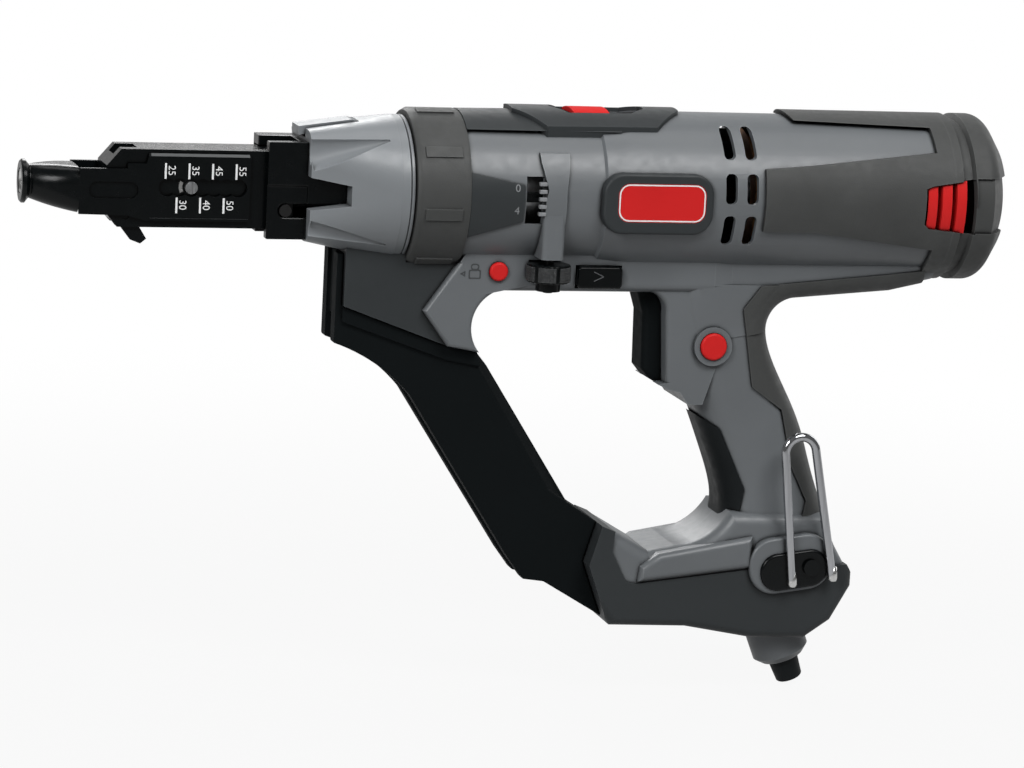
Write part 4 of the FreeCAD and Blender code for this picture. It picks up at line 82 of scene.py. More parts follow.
class Finish:
    """A surface built from a principled shader with noise on colour, roughness and height."""

    def __init__(self, name):
        self.material = bpy.data.materials.new(name)
        self.material.use_nodes = True
        self.tree = self.material.node_tree
        self.tree.nodes.clear()
        output = self.node("OutputMaterial")
        self.main = self.node("BsdfPrincipled")
        self.link(self.main.outputs["BSDF"], output.inputs["Surface"])
        self.place = self.node("TexCoord")
        self.height = None

    def node(self, kind, **sockets):
        item = self.tree.nodes.new("ShaderNode" + kind)
        for label, value in sockets.items():
            item.inputs[label.replace("_", " ")].default_value = value
        return item

    def link(self, start, end):
        self.tree.links.new(start, end)

    def noise(self, scale, detail=3.0, stretch=(1, 1, 1)):
        spread = self.node("Mapping", Scale=stretch)
        self.link(self.place.outputs["Object"], spread.inputs["Vector"])
        item = self.node("TexNoise", Scale=scale, Detail=detail)
        self.link(spread.outputs["Vector"], item.inputs["Vector"])
        return item.outputs["Fac"]

    def cells(self, scale):
        item = self.node("TexVoronoi", Scale=scale)
        self.link(self.place.outputs["Object"], item.inputs["Vector"])
        return item.outputs["Distance"]

    def waves(self, scale, axis):
        item = self.node("TexWave", Scale=scale)
        item.bands_direction = axis
        self.link(self.place.outputs["Object"], item.inputs["Vector"])
        return item.outputs["Fac"]

    def ramp(self, value, stops):
        item = self.node("ValToRGB")
        ends = item.color_ramp.elements
        for index, (where, colour) in enumerate(stops):
            stop = ends[index] if index < 2 else ends.new(where)
            stop.position = where
            stop.color = (*colour, 1.0)
        self.link(value, item.inputs["Fac"])
        return item.outputs["Color"]

    def remap(self, value, given, wanted):
        """A value moved from one range to another."""
        item = self.node(
            "MapRange", From_Min=given[0], From_Max=given[1], To_Min=wanted[0], To_Max=wanted[1]
        )
        self.link(value, item.inputs["Value"])
        return item.outputs["Result"]

    def colour_mix(self, blend="MIX"):
        item = self.node("Mix")
        item.data_type = "RGBA"
        item.blend_type = blend
        return item

    def worn(self, colour, pale, width, amount):
        """Edges painted paler, as rubbing wear and a painted highlight, found from the corner's
        rounded normal.
        """
        edge = self.node("Bevel", Radius=width)
        edge.samples = 4
        shape = self.node("NewGeometry")
        match = self.node("VectorMath")
        match.operation = "DOT_PRODUCT"
        self.link(edge.outputs["Normal"], match.inputs[0])
        self.link(shape.outputs["Normal"], match.inputs[1])
        lit_worn_edges = self.remap(match.outputs["Value"], EDGE_MATCH, (0.0, amount))
        mix = self.colour_mix()
        self.link(lit_worn_edges, mix.inputs["Factor"])
        self.link(colour, mix.inputs["A"])
        mix.inputs["B"].default_value = (*pale, 1.0)
        return mix.outputs["Result"]

    def grime(self, colour):
        """Painted shade in seams and inner corners, found from how open each point is."""
        open_sky = self.node("AmbientOcclusion", Distance=SEAM_REACH)
        open_sky.samples = 6
        unshaded = self.remap(open_sky.outputs["AO"], OPENNESS, (SEAM_SHADE, 1.0))
        mix = self.colour_mix("MULTIPLY")
        mix.inputs["Factor"].default_value = 1.0
        self.link(colour, mix.inputs["A"])
        self.link(unshaded, mix.inputs["B"])
        return mix.outputs["Result"]

    def relief(self, value, strength, distance):
        """Height on the surface, added to what is already there."""
        item = self.node("Bump", Strength=strength, Distance=distance)
        self.link(value, item.inputs["Height"])
        if self.height is not None:
            self.link(self.height, item.inputs["Normal"])
        self.height = item.outputs["Normal"]
        self.link(self.height, self.main.inputs["Normal"])

    def colour(self, value):
        self.link(value, self.main.inputs["Base Color"])

    def rough(self, value, low, high):
        self.link(self.remap(value, NOISE_RANGE, (low, high)), self.main.inputs["Roughness"])

    def fixed(self, label, value):
        self.main.inputs[label].default_value = value


def tint(colour, factor):
    return tuple(min(part * factor, 1.0) for part in colour)


def moulded(name, colour, rough, grain, depth, edge=0.35, level=0.28):
    """Moulded plastic: faint flow mottling, spark-eroded grain, edges painted paler as wear and a
    painted highlight, painted shade in seams.
    """
    item = Finish(name)
    flow = item.noise(38.0, detail=5.0, stretch=(0.6, 1.0, 1.0))
    base = item.ramp(flow, [(0.25, tint(colour, 1 - MOTTLE)), (0.75, tint(colour, 1 + MOTTLE))])
    # edges painted paler: rubbing wear and a painted highlight
    lit_worn_edges = item.worn(base, tint(colour, 1.9), width=0.0008, amount=edge)
    # painted shade darkens the colour in seams and inner corners
    item.colour(item.grime(lit_worn_edges))
    item.rough(item.noise(240.0, detail=4.0), rough - 0.05, rough + 0.06)
    item.relief(item.noise(grain, detail=2.0), strength=0.35, distance=depth)
    item.fixed("Specular IOR Level", level)
    return item.material


def soft_touch(name, colour, rough, grain, depth, level=0.34):
    """Soft overmoulding: pebbled grain with dusty high points, edges painted paler as wear and a
    painted highlight, and painted shade in seams.
    """
    item = Finish(name)
    stops = [(0.25, tint(colour, 0.86)), (0.6, colour), (0.85, tint(colour, 1.22))]
    base = item.ramp(item.noise(55.0, detail=6.0), stops)
    # edges painted paler: rubbing wear and a painted highlight
    lit_worn_edges = item.worn(base, tint(colour, 2.0), width=0.0009, amount=0.4)
    # painted shade darkens the colour in seams and inner corners
    item.colour(item.grime(lit_worn_edges))
    item.rough(item.noise(300.0), rough - 0.06, rough + 0.08)
    item.relief(item.cells(grain), strength=0.3, distance=depth)
    item.relief(item.noise(grain * 2.2, detail=2.0), strength=0.2, distance=depth * 0.6)
    item.fixed("Specular IOR Level", level)
    item.fixed("Sheen Weight", 0.04)
    item.fixed("Sheen Roughness", 0.5)
    return item.material


def metal(name, colour, rough, brush, stretch, depth):
    """Bare metal with brush marks along the stretch."""
    item = Finish(name)
    marks = item.noise(brush, detail=4.0, stretch=stretch)
    item.colour(item.ramp(marks, [(0.3, tint(colour, 0.82)), (0.7, colour)]))
    item.rough(marks, rough * 0.75, rough * 1.3)
    item.relief(marks, strength=0.25, distance=depth)
    item.fixed("Metallic", 1.0)
    return item.material


def knurled(name):
    """Diamond knurl cut into dark plastic."""
    item = Finish(name)
    stops = [(0.3, (0.035, 0.037, 0.038)), (0.7, (0.075, 0.078, 0.08))]
    item.colour(item.ramp(item.noise(400.0), stops))
    for axis in ("X", "Z"):
        item.relief(item.waves(620.0, axis), strength=0.8, distance=0.0003)
    item.rough(item.noise(500.0), 0.4, 0.55)
    return item.material


def printed(name, colour):
    """Pad-printed ink with slightly uneven cover; also the painted highlight on the nosepiece
    folds.
    """
    item = Finish(name)
    item.colour(item.ramp(item.noise(1800.0), [(0.2, tint(colour, 0.86)), (0.7, colour)]))
    item.rough(item.noise(900.0), 0.35, 0.5)
    return item.material


GREY = (0.130, 0.140, 0.148)
PALE = (0.200, 0.214, 0.226)
SOFT = (0.054, 0.056, 0.055)
DARK = (0.030, 0.034, 0.036)
BLACK = (0.0024, 0.0033, 0.0036)
RED = (0.62, 0.020, 0.020)

# One finish for each material slot of the record. Moulded and soft ones give colour, roughness,
# grain scale and grain depth, then how far edges are painted paler as wear and a painted
# highlight, and specular level. Metals give colour, roughness, and the scale, stretch and depth
# of their brush marks.
FINISHES = {
    "housing_plastic": moulded("housing_plastic", GREY, 0.38, 2600.0, 0.00005, level=0.5),
    "pale_plastic": moulded("pale_plastic", PALE, 0.36, 2600.0, 0.00004, edge=0.3, level=0.5),
    "soft_grip": soft_touch("soft_grip", SOFT, 0.55, 1500.0, 0.00007),
    "dark_plastic": moulded("dark_plastic", DARK, 0.46, 2000.0, 0.00006, edge=0.45),
    "black_plastic": moulded("black_plastic", BLACK, 0.22, 2400.0, 0.00002, edge=0.12, level=0.2),
    "red_plastic": moulded("red_plastic", RED, 0.36, 2200.0, 0.00002, edge=0.05, level=0.12),
    "chromed_wire": metal(
        "chromed_wire", (0.52, 0.53, 0.55), 0.09, 900.0, (1, 1, 0.04), 0.00001
    ),
    "steel": metal("steel", (0.52, 0.53, 0.54), 0.3, 1400.0, (1, 0.1, 0.1), 0.00002),
    "iron": metal("iron", (0.20, 0.20, 0.21), 0.5, 2200.0, (1, 0.02, 0.02), 0.00004),
    "alloy": metal("alloy", (0.62, 0.63, 0.64), 0.42, 700.0, (1, 1, 1), 0.00005),
    "copper": metal("copper", (0.70, 0.36, 0.18), 0.35, 1600.0, (0.05, 1, 1), 0.00006),
    "carbon": moulded("carbon", (0.02, 0.02, 0.021), 0.7, 1800.0, 0.00006),
}

# Finishes of the added pieces.
INK = printed("scale_ink", (0.86, 0.87, 0.87))
# pale strip painted on the nosepiece folds as a painted highlight
FOLD_HIGHLIGHT = printed("painted_fold_highlight", (0.075, 0.079, 0.081))
TICK = printed("window_tick", (0.24, 0.25, 0.26))
MARK = printed("switch_mark", (0.10, 0.105, 0.11))
SIGN = moulded("raised_sign", (0.060, 0.064, 0.067), 0.5, 2400.0, 0.00003, edge=0.1)
KNURL = knurled("wheel_knurl")
BRIGHT = metal("bright_steel", (0.78, 0.78, 0.77), 0.22, 1500.0, (0.1, 1, 1), 0.00001)

# Nodes whose finish departs from the one of their slot.
MATT_RED = moulded("matt_red", RED, 0.62, 2200.0, 0.00003, edge=0.05, level=0.03)
MATT_BLACK = moulded(
    "matt_black", (0.0050, 0.0066, 0.0072), 0.68, 2000.0, 0.00004, edge=0.3, level=0.06
)
SOFT_BLACK = soft_touch(
    "soft_black", (0.0075, 0.0095, 0.0105), 0.5, 1500.0, 0.00006, level=0.14
)
OILED = metal("oiled_iron", (0.05, 0.05, 0.05), 0.4, 1800.0, (1, 0.1, 1), 0.00003)
NODE_FINISH = {
    "trigger": MATT_BLACK,
    "strip_guide": MATT_BLACK,
    "depth_wheel": FINISHES["black_plastic"],
    "handle_grip_front": SOFT_BLACK,
    "cable_boot": SOFT_BLACK,
    "top_slider": MATT_RED,
    "guide_roller": OILED,
}

# Rounding of the shown nodes' edges, in millimetres.
FINE_ROUNDING = 0.25
ROUNDING = {
    "housing_left": 0.9, "housing_right": 0.9, "base_guard": 0.8, "trigger": 0.8,
    "nose_cone": 0.7, "strip_guide": 0.7, "rear_cap": 0.7,
    "strip_bracket": 0.6, "barrel_overmould": 0.6, "cable_collar": 0.6,
    "front_collar": 0.5, "feed_bracket": 0.5, "slide_body": 0.5, "top_cover": 0.5,
    "hook_block": 0.5, "cable_boot": 0.5, "nosepiece": 0.45,
    "handle_grip_back": 0.4, "handle_grip_front": 0.4, "strip_pawl": 0.4,
}
INSIDE = {
    "gear_case", "ring_gear", "spindle_bearing", "motor_bearing_plate", "front_motor_bearing",
    "rear_motor_bearing", "field_core", "field_windings", "brush_holders", "carbon_brushes",
    "trigger_switch", "armature_shaft", "armature_core", "commutator", "cooling_fan", "spindle",
    "driver_bit", "planet_gear_1", "planet_gear_2", "planet_gear_3", "slide_spring",
    "feed_sprocket", "housing_screws",
}
SHARP_ANGLE = math.radians(32)


def dress_nodes():
    """Every CAD node gets its finish, and the shown ones a fine rounding of their edges."""
    for name, item in NODES.items():
        item.data.materials.clear()
        item.data.materials.append(NODE_FINISH.get(name) or FINISHES[NODE_SLOTS[name]])
        weld = item.modifiers.new("join", "WELD")
        weld.merge_threshold = 0.002 * MM
        if name not in INSIDE:
            edge = item.modifiers.new("edge", "BEVEL")
            edge.width = ROUNDING.get(name, FINE_ROUNDING) * MM
            edge.segments = 2
            edge.limit_method = "ANGLE"
            edge.angle_limit = SHARP_ANGLE
            edge.use_clamp_overlap = True
        shade = item.modifiers.new("shade", "WEIGHTED_NORMAL")
        shade.keep_sharp = True
        shade.weight = 60


# Pieces that only the picture needs. Their measures are in millimetres, and a piece's look is its
# finish, the body that it rides on and its material slot.
def add(name, data, look, place=None):
    finish, body, slot = look
    item = bpy.data.objects.new(name, data)
    bpy.context.scene.collection.objects.link(item)
    item.data.materials.append(finish)
    if place is not None:
        item.matrix_world = place
    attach(item, body)
    return item


def piece(name, points, faces, look, smooth=False):
    """Closed mesh with its faces turned outwards."""
    mesh = bpy.data.meshes.new(name)
    mesh.from_pydata([Vector(point) * MM for point in points], [], faces)
    build = bmesh.new()
    build.from_mesh(mesh)
    bmesh.ops.recalc_face_normals(build, faces=build.faces[:])
    build.to_mesh(mesh)
    build.free()
    for face in mesh.polygons:
        face.use_smooth = smooth
    return add(name, mesh, look)


def bar(name, low, high, look, rounding=0.0):
    """Block between two corners with its edges rounded."""
    build = bmesh.new()
    bmesh.ops.create_cube(build, size=1.0)
    for vertex in build.verts:
        shares = [value + 0.5 for value in vertex.co]
        place = [low[i] + (high[i] - low[i]) * shares[i] for i in range(3)]
        vertex.co = Vector(place) * MM
    if rounding:
        bmesh.ops.bevel(
            build, geom=build.edges[:], offset=rounding * MM, segments=2,
            affect="EDGES", profile=0.5,
        )
    mesh = bpy.data.meshes.new(name)
    build.to_mesh(mesh)
    build.free()
    return add(name, mesh, look)


def quads(rings, size, closed=True):
    """Faces between rings of points that follow one another, and back to the first if closed."""
    faces = []
    for ring in range(rings if closed else rings - 1):
        start, end = ring * size, (ring + 1) % rings * size
        for index in range(size):
            after = (index + 1) % size
            faces.append((start + index, start + after, end + after, end + index))
    return faces


def band(name, outer, inner, low, high, look):
    """Closed band between two loops of (along, up) points, from one side place to the other."""
    loops = [(outer, low), (inner, low), (inner, high), (outer, high)]
    points = [(along, across, up) for loop, across in loops for along, up in loop]
    return piece(name, points, quads(len(loops), len(outer)), look)


def plate(name, loop, low, high, look):
    """Closed plate with an outline of (along, up) points, from one side place to the other."""
    count = len(loop)
    points = [(along, across, up) for across in (low, high) for along, up in loop]
    faces = [tuple(range(count)), tuple(range(2 * count - 1, count - 1, -1))]
    for index in range(count):
        after = (index + 1) % count
        faces.append((index, index + count, after + count, after))
    return piece(name, points, faces, look)


# Faces of a prism: its first four points are one end, its last four the other.
PRISM = [(0, 1, 2, 3), (7, 6, 5, 4), (0, 4, 5, 1), (1, 5, 6, 2), (2, 6, 7, 3), (3, 7, 4, 0)]


def rounded_loop(middle, long, tall, corner, steps=6):
    """Rectangle with round corners as (along, up) points."""
    points = []
    for quarter, (right, upper) in enumerate(((1, 1), (-1, 1), (-1, -1), (1, -1))):
        along = middle[0] + right * (long / 2 - corner)
        up = middle[1] + upper * (tall / 2 - corner)
        for step in range(steps + 1):
            angle = math.pi / 2 * (quarter + step / steps)
            points.append((along + corner * math.cos(angle), up + corner * math.sin(angle)))
    return points


def turned(name, profile, centre, axis, look, count=48):
    """Ring made by turning a closed profile of (along, radius) points about an axis."""
    first, second = [index for index in range(3) if index != axis]
    points = []
    for step in range(count):
        angle = 2 * math.pi * step / count
        for along, radius in profile:
            point = list(centre)
            point[axis] += along
            point[first] += radius * math.cos(angle)
            point[second] += radius * math.sin(angle)
            points.append(point)
    return piece(name, points, quads(count, len(profile)), look, True)


def number(name, text, place, tall, look):
    """Plain number lying in the plane of a placing matrix."""
    curve = bpy.data.curves.new(name, "FONT")
    curve.body = text
    curve.size = tall * MM
    curve.align_x = "CENTER"
    curve.align_y = "CENTER"
    curve.extrude = 0.03 * MM
    return add(name, curve, look, place)


def span(node):
    """A node's lowest and highest corners."""
    low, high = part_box(node)
    return [value / MM for value in low], [value / MM for value in high]


def middle_of(low, high, axes):
    return [(low[axis] + high[axis]) / 2 for axis in axes]


def strike(node, start, way):
    """Where a line from a point first meets a node."""
    mesh = NODES[node].data
    points = [vertex.co for vertex in mesh.vertices]
    tree = BVHTree.FromPolygons(points, [face.vertices for face in mesh.polygons])
    return tree.ray_cast(Vector(start) * MM, Vector(way))[0] / MM


def left_face(node, along, up):
    """Side place of a node's left face, met from well outside it."""
    return strike(node, (along, -80.0, up), (0, 1, 0)).y


def lying(node, along, up, reach=0.8):
    """Placing matrix on the left face of a node: right along it, up along it and out of it."""
    def hit(right, above):
        side = left_face(node, along + right, up + above)
        return Vector((along + right, side, up + above))

    right = (hit(reach, 0.0) - hit(-reach, 0.0)).normalized()
    above = (hit(0.0, reach) - hit(0.0, -reach)).normalized()
    out = right.cross(above).normalized()
    turn = Matrix((right, above, out)).transposed().to_4x4()
    return Matrix.Translation(hit(0.0, 0.0) * MM) @ turn


SCALE_LENGTHS = range(25, 60, 5)
SCALE_START = 59.0
UPPER_LINE = (3.6, 10.2)
LOWER_LINE = (-10.8, -4.2)
READ_DOWNWARDS = Matrix(((0, 1, 0), (0, 0, -1), (-1, 0, 0))).to_4x4()


def make_scale():
    """Screw-length marks and numbers on the left cheek of the nosepiece."""
    look = (INK, "nosepiece", "black_plastic")
    half = 0.42
    number_gap = 2.5
    cheek = span("nosepiece")[0][1]
    for index, length in enumerate(SCALE_LENGTHS):
        along = SCALE_START + length - SCALE_LENGTHS[0]
        low, high = LOWER_LINE if index % 2 else UPPER_LINE
        bar("scale_line_%d" % length, (along - half, cheek - 0.05, low),
            (along + half, cheek + 0.03, high), look)
        where = Vector((along + number_gap, cheek - 0.02, (low + high) / 2 + 0.2))
        place = Matrix.Translation(where * MM) @ READ_DOWNWARDS
        number("scale_number_%d" % length, str(length), place, 4.3, look)


WINDOW_TICKS = 5
TICK_TOP = 6.4
TICK_STEP = 3.2
TICK_ENDS = (215.6, 218.8)
DEPTH_NUMBERS = (("0", 4.4), ("4", -5.2))
DEPTH_NUMBERS_ALONG = 206.2


def make_depth_marks():
    """Ticks beside the depth window, and the ends of its scale on the side panel."""
    half = 0.8
    for index in range(WINDOW_TICKS):
        up = TICK_TOP - TICK_STEP * index
        face = left_face("housing_left", 220.0, up)
        bar("window_tick_%d" % (index + 1), (TICK_ENDS[0], face - 0.2, up - half),
            (TICK_ENDS[1], face + 2.0, up + half), (TICK, "housing", "housing_plastic"), 0.25)
    for text, up in DEPTH_NUMBERS:
        place = lying("side_panel_left", DEPTH_NUMBERS_ALONG, up)
        number("depth_number_" + text, text, place, 4.6, (TICK, "housing", "dark_plastic"))


def make_badge_borders():
    """Thin pale line round each bare badge plate."""
    outer_gap, inner_gap = 0.7, 1.9
    for node, outwards in (("badge_plate_left", -1), ("badge_plate_right", 1)):
        low, high = span(node)
        face = low[1] if outwards < 0 else high[1]
        middle = middle_of(low, high, (0, 2))
        long, tall = high[0] - low[0], high[2] - low[2]
        outer = rounded_loop(middle, long - outer_gap, tall - outer_gap, 4.6)
        inner = rounded_loop(middle, long - inner_gap, tall - inner_gap, 4.0)
        band(node + "_border", outer, inner, face + 0.06 * outwards, face - 0.2 * outwards,
             (INK, "housing", "red_plastic"))


PADS = 6
FIRST_PAD = -132
PAD_REACH = 48
PAD_COLUMNS, PAD_ROWS = 10, 8
PAD_BOTTOM, PAD_TOP = -35.4, -29.2
PAD_FOOT, PAD_PEAK, PAD_ROOT = 0.12, 0.4, -0.3


def knurl_pad(centre, radius, start):
    """Points and faces of one pad: a curved grid of small pyramids, closed behind."""
    across_one = PAD_COLUMNS + 1
    points = []
    faces = []

    def place(column, row, out):
        angle = start + math.radians(PAD_REACH) * column / PAD_COLUMNS
        up = PAD_BOTTOM + (PAD_TOP - PAD_BOTTOM) * row / PAD_ROWS
        reach = radius + out
        return (centre[0] + reach * math.cos(angle), centre[1] + reach * math.sin(angle), up)

    for row in range(PAD_ROWS + 1):
        for column in range(across_one):
            points.append(place(column, row, PAD_FOOT))
    for row in range(PAD_ROWS):
        for column in range(PAD_COLUMNS):
            first = row * across_one + column
            points.append(place(column + 0.5, row + 0.5, PAD_PEAK))
            peak = len(points) - 1
            ring = (first, first + 1, first + across_one + 1, first + across_one)
            for index in range(4):
                faces.append((ring[index], ring[(index + 1) % 4], peak))
    border = [(column, 0) for column in range(across_one)]
    border += [(PAD_COLUMNS, row) for row in range(1, PAD_ROWS + 1)]
    border += [(column, PAD_ROWS) for column in range(PAD_COLUMNS - 1, -1, -1)]
    border += [(0, row) for row in range(PAD_ROWS - 1, 0, -1)]
    edge = [row * across_one + column for column, row in border]
    inner = [len(points) + index for index in range(len(border))]
    points += [place(column, row, PAD_ROOT) for column, row in border]
    for index in range(len(edge)):
        after = (index + 1) % len(edge)
        faces.append((edge[index], inner[index], inner[after], edge[after]))
    faces.append(tuple(reversed(inner)))
    return points, faces


def make_wheel_pads():
    """Knurled pads round the rim of the depth wheel."""
    low, high = span("depth_wheel")
    centre = middle_of(low, high, (0, 1))
    radius = (high[0] - low[0]) / 2
    for pad in range(PADS):
        start = math.radians(360 / PADS * pad + FIRST_PAD)
        points, faces = knurl_pad(centre, radius, start)
        piece("wheel_pad_%d" % (pad + 1), points, faces, (KNURL, "depth_wheel", "dark_plastic"))


def make_switch_mark():
    """Shallow arrow head on the reverse switch."""
    low, high = span("reverse_switch")
    face = low[1]
    along, up = middle_of(low, high, (0, 2))
    tip = (along + 1.6, up + 0.6)
    length, half = 4.4, 0.2
    for name, rise in (("upper", 2.0), ("lower", -2.0)):
        end = (tip[0] - length, tip[1] + rise)
        stroke = [(tip[0], tip[1] + half), (tip[0], tip[1] - half),
                  (end[0], end[1] - half), (end[0], end[1] + half)]
        plate("reverse_arrow_" + name, stroke, face - 0.05, face + 0.1,
              (MARK, "reverse_switch", "black_plastic"))


SIGN_PLACE = (192.5, -33.2)


def make_lock_sign():
    """Raised open padlock and arrow beside the release button."""
    along, up = SIGN_PLACE
    face = left_face("housing_left", along, up)
    case, bow = (along, up - 1.2), (along, up + 2.0)
    outlines = {
        "case": (rounded_loop(case, 5.2, 3.8, 0.5), rounded_loop(case, 4.4, 3.0, 0.3)),
        "bow": (rounded_loop(bow, 3.6, 2.6, 1.2), rounded_loop(bow, 2.8, 1.8, 0.8)),
        "arrow": (
            [(along - 4.2, up + 0.2), (along - 6.4, up - 1.0), (along - 4.2, up - 2.2)],
            [(along - 4.6, up - 0.5), (along - 5.6, up - 1.0), (along - 4.6, up - 1.5)],
        ),
    }
    for name, (outer, inner) in outlines.items():
        band("lock_sign_" + name, outer, inner, face - 0.14, face + 0.4,
             (SIGN, "housing", "housing_plastic"))


def make_nose_fittings():
    """Bright steel lining in the mouth, and the clip seen beside the pin in the scale slot."""
    bore = strike("nosepiece", (3.0, 0.0, 0.0), (0, 0, 1)).z - 0.03
    inner, front, back = bore - 0.35, 0.35, 5.6
    lining = [(front, bore), (front, inner), (back, inner), (back, bore)]
    turned("mouth_lining", lining, (0.0, 0.0, 0.0), 0, (BRIGHT, "nosepiece", "steel"))

    along, up = middle_of(*span("index_pin"), (0, 2))
    floor = span("slide_body")[0][1]
    arc = [math.radians(150 + 10 * step) for step in range(7)]
    loop = []
    for radius, angles in ((5.0, arc), (3.5, arc[::-1])):
        for angle in angles:
            loop.append((along + radius * math.cos(angle), up + radius * math.sin(angle)))
    plate("pin_clip", loop, floor - 0.22, floor, (BRIGHT, "feed_slide", "steel"))


FOLD_ENDS = (52.8, 94.6)
FOLD_SECTION = [(-14.04, 13.03), (-12.96, 14.11), (-12.90, 14.00), (-13.95, 12.95)]


def make_cheek_folds():
    """Pale strips on the slanted folds along the nosepiece cheek's upper and lower edges, a
    painted highlight.
    """
    for name, way in (("upper", 1.0), ("lower", -1.0)):
        points = [(along, across, way * up) for along in FOLD_ENDS for across, up in FOLD_SECTION]
        piece("cheek_fold_highlight_" + name, points, PRISM, (FOLD_HIGHLIGHT, "nosepiece", "black_plastic"))


SPRING_WIRE = 0.7
SPRING_TURNS = 11
SPRING_STEPS = 26
SPRING_SIDES = 8


def make_return_spring():
    """Coil spring at full length; the real one shortens towards the gear case as the slide is
    pushed back.
    """
    low, high = span("slide_spring")
    radius = (high[1] - low[1]) / 2 - SPRING_WIRE
    start, end = low[0] + SPRING_WIRE, high[0] - SPRING_WIRE
    rise = (end - start) / (SPRING_TURNS * 2 * math.pi)
    rings = SPRING_TURNS * SPRING_STEPS + 1
    points = []
    for step in range(rings):
        turn = 2 * math.pi * step / SPRING_STEPS
        out = Vector((0.0, math.cos(turn), math.sin(turn)))
        along = Vector((rise, -radius * math.sin(turn), radius * math.cos(turn))).normalized()
        side = along.cross(out)
        middle = Vector((start + rise * turn, 0.0, 0.0)) + out * radius
        for index in range(SPRING_SIDES):
            angle = 2 * math.pi * index / SPRING_SIDES
            points.append(middle + (out * math.cos(angle) + side * math.sin(angle)) * SPRING_WIRE)
    faces = quads(rings, SPRING_SIDES, closed=False)
    last = len(points) - SPRING_SIDES
    faces.append(tuple(range(SPRING_SIDES)))
    faces.append(tuple(range(len(points) - 1, last - 1, -1)))
    look = (FINISHES["steel"], "housing", NODE_SLOTS["slide_spring"])
    spring = piece("return_spring", points, faces, look, True)
    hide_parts("slide_spring")
    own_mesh(spring)


RAMP_ENDS = (-38.3, -28.3)
RAMP_SECTION = [(299.7, 19.98), (308.0, 19.02), (308.0, 18.4), (299.7, 18.4)]


def make_spine_ramps():
    """Slim ramps that carry the side of the spine back onto the narrower tail, on both shells."""
    look = (FINISHES["housing_plastic"], "housing", "housing_plastic")
    for name, way in (("left", -1.0), ("right", 1.0)):
        points = [(along, way * across, up) for up in RAMP_ENDS for along, across in RAMP_SECTION]
        piece("spine_ramp_" + name, points, PRISM, look)


HOOK_SIDE = -28.6
HOOK_ENDS = (("front", 340.7, -169.2), ("back", 359.1, -166.7))
FOOT_PROFILE = [(-1.0, 0.6), (-0.8, 1.8), (0.5, 2.2), (2.6, 2.0), (5.6, 1.66), (5.6, 0.6)]


def make_hook_feet():
    """Flared bright feet at the two ends of the belt hook's wire."""
    look = (BRIGHT, "housing", "chromed_wire")
    for name, along, up in HOOK_ENDS:
        turned("hook_foot_" + name, FOOT_PROFILE, (along, HOOK_SIDE, up), 2, look, 24)


# Stage, light and camera, in metres.
PAPER_GRAIN = 90.0
PAPER_TONES = (0.25, 0.28)
SHADOW_MIDDLE = (0.22, 0.0)
SHADOW_REACH, SHADOW_GLOW = (0.25, 0.9), (0.92, 1.0)
FRONT_REACH, FRONT_GLOW = (-0.9, -0.1), (0.05, 0.5)


def make_paper(low):
    """Matt paper that the eye and mirrors see as white, with the shadow kept near the object."""
    paper = bpy.data.materials.new("paper")
    paper.use_nodes = True
    tree = paper.node_tree
    tree.nodes.clear()

    def node(kind, operation=None):
        item = tree.nodes.new("ShaderNode" + kind)
        if operation:
            item.operation = operation
        return item

    def eased(given, wanted):
        item = node("MapRange")
        item.interpolation_type = "SMOOTHSTEP"
        for label, (first, last) in (("From", given), ("To", wanted)):
            item.inputs[label + " Min"].default_value = first
            item.inputs[label + " Max"].default_value = last
        return item

    output = node("OutputMaterial")
    mix = node("MixShader")
    matt = node("BsdfDiffuse")
    glow = node("Emission")
    path = node("LightPath")
    place = node("TexCoord")
    grain = node("TexNoise")
    grain.inputs["Scale"].default_value = PAPER_GRAIN
    tone = node("ValToRGB")
    for stop, level in zip(tone.color_ramp.elements, PAPER_TONES):
        stop.color = (level, level, level, 1.0)
    distance = node("VectorMath", "DISTANCE")
    distance.inputs[1].default_value = (*SHADOW_MIDDLE, low)
    shadow = eased(SHADOW_REACH, SHADOW_GLOW)
    side = node("SeparateXYZ")
    front = eased(FRONT_REACH, FRONT_GLOW)
    mirror = node("Math", "MULTIPLY")
    seen = node("Math", "MAXIMUM")
    shown = node("Math", "MAXIMUM")
    share = node("Math", "MULTIPLY")
    for start, end in (
        (place.outputs["Object"], grain.inputs["Vector"]),
        (grain.outputs["Fac"], tone.inputs["Fac"]),
        (tone.outputs["Color"], matt.inputs["Color"]),
        (place.outputs["Object"], distance.inputs[0]),
        (distance.outputs["Value"], shadow.inputs["Value"]),
        (place.outputs["Object"], side.inputs["Vector"]),
        (side.outputs["Y"], front.inputs["Value"]),
        (path.outputs["Is Glossy Ray"], mirror.inputs[0]),
        (front.outputs["Result"], mirror.inputs[1]),
        (path.outputs["Is Camera Ray"], seen.inputs[0]),
        (mirror.outputs["Value"], seen.inputs[1]),
        (seen.outputs["Value"], shown.inputs[0]),
        (path.outputs["Is Transmission Ray"], shown.inputs[1]),
        (shown.outputs["Value"], share.inputs[0]),
        (shadow.outputs["Result"], share.inputs[1]),
        (share.outputs["Value"], mix.inputs["Fac"]),
        (matt.outputs["BSDF"], mix.inputs[1]),
        (glow.outputs["Emission"], mix.inputs[2]),
        (mix.outputs["Shader"], output.inputs["Surface"]),
    ):
        tree.links.new(start, end)
    return paper


FLOOR_GAP = 0.0004
FLOOR_FRONT = -14.0
BEND_START = 2.2
BEND_RADIUS = 1.2
BEND_STEPS = 12
BACKDROP_TOP = 5.0
HALF_WIDTH = 9.0


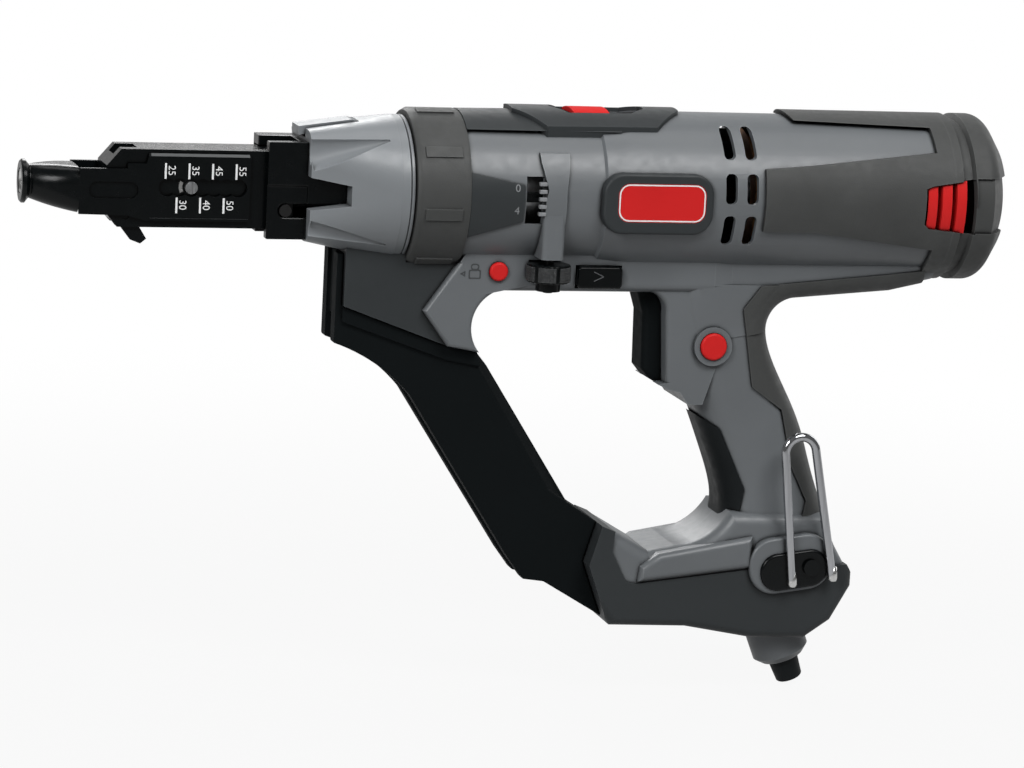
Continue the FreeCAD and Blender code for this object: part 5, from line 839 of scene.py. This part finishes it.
def make_stage():
    """Pale floor that runs up into the backdrop in one sweep."""
    low = cad_box[0][2] - FLOOR_GAP
    profile = [(FLOOR_FRONT, low), (BEND_START, low)]
    for step in range(1, BEND_STEPS + 1):
        angle = math.pi / 2 * step / BEND_STEPS
        profile.append((BEND_START + BEND_RADIUS * math.sin(angle),
                        low + BEND_RADIUS * (1 - math.cos(angle))))
    profile.append((BEND_START + BEND_RADIUS, BACKDROP_TOP))
    points = [(side, across, up) for across, up in profile for side in (-HALF_WIDTH, HALF_WIDTH)]
    faces = [(2 * index, 2 * index + 1, 2 * index + 3, 2 * index + 2)
             for index in range(len(profile) - 1)]
    mesh = bpy.data.meshes.new("sweep")
    mesh.from_pydata(points, [], faces)
    for face in mesh.polygons:
        face.use_smooth = True
    mesh.materials.append(make_paper(low))
    item = bpy.data.objects.new("sweep", mesh)
    bpy.context.scene.collection.objects.link(item)


# Name, place, width, height and power in watts.
LAMPS = (
    ("key", (0.62, -1.10, 1.22), 0.9, 0.7, 18.5),
    ("left", (-0.90, -1.10, 0.75), 0.6, 0.6, 13.5),
    ("top", (0.30, 0.15, 1.15), 1.4, 0.4, 4.0),
    ("rim", (1.30, 0.55, 0.45), 0.4, 1.0, 3.0),
    ("back", (0.10, 1.50, 0.85), 0.9, 0.7, 13.0),
)
LIT_POINT = (0.22, 0.0, -0.06)
WORLD_LIGHT = 0.15


def make_light():
    """Soft area lamps round the object, and a faint even light from all sides."""
    for name, where, wide, tall, power in LAMPS:
        data = bpy.data.lights.new(name, "AREA")
        data.energy = power
        data.shape = "RECTANGLE"
        data.size = wide
        data.size_y = tall
        item = bpy.data.objects.new(name, data)
        bpy.context.scene.collection.objects.link(item)
        item.location = where
        way = Vector(LIT_POINT) - Vector(where)
        item.rotation_euler = way.to_track_quat("-Z", "Y").to_euler()
    world = bpy.data.worlds.new("studio")
    bpy.context.scene.world = world
    world.use_nodes = True
    back = world.node_tree.nodes["Background"]
    back.inputs["Color"].default_value = (1.0, 1.0, 1.0, 1.0)
    back.inputs["Strength"].default_value = WORLD_LIGHT


CAMERA_PLACE = (-248.79, -1713.60, 227.71)
CAMERA_TURN, CAMERA_RISE, CAMERA_ROLL = -15.2, 10.0, 2.915
CAMERA_LENS, CAMERA_SENSOR = 146.2, 36.0


def make_camera():
    """Camera fitted to the photograph: turned to the nose side, a little up, slightly rolled."""
    turn, rise, roll = map(math.radians, (CAMERA_TURN, CAMERA_RISE, CAMERA_ROLL))
    flat = math.cos(rise)
    back = Vector((math.sin(turn) * flat, -math.cos(turn) * flat, math.sin(rise)))
    level = Vector((math.cos(turn), math.sin(turn), 0.0))
    above = back.cross(level)
    right = level * math.cos(roll) + above * math.sin(roll)
    up = above * math.cos(roll) - level * math.sin(roll)
    place = Matrix((right, up, back)).transposed().to_4x4()
    place.translation = Vector(CAMERA_PLACE) * MM
    data = bpy.data.cameras.new("camera")
    data.sensor_width = CAMERA_SENSOR
    data.lens = CAMERA_LENS
    data.clip_end = 50.0
    item = bpy.data.objects.new("camera", data)
    bpy.context.scene.collection.objects.link(item)
    item.matrix_world = place
    bpy.context.scene.camera = item


dress_nodes()
make_scale()
make_depth_marks()
make_badge_borders()
make_wheel_pads()
make_switch_mark()
make_lock_sign()
make_nose_fittings()
make_cheek_folds()
make_return_spring()
make_spine_ramps()
make_hook_feet()
make_stage()
make_light()
make_camera()
bpy.context.scene.view_settings.view_transform = "Standard"
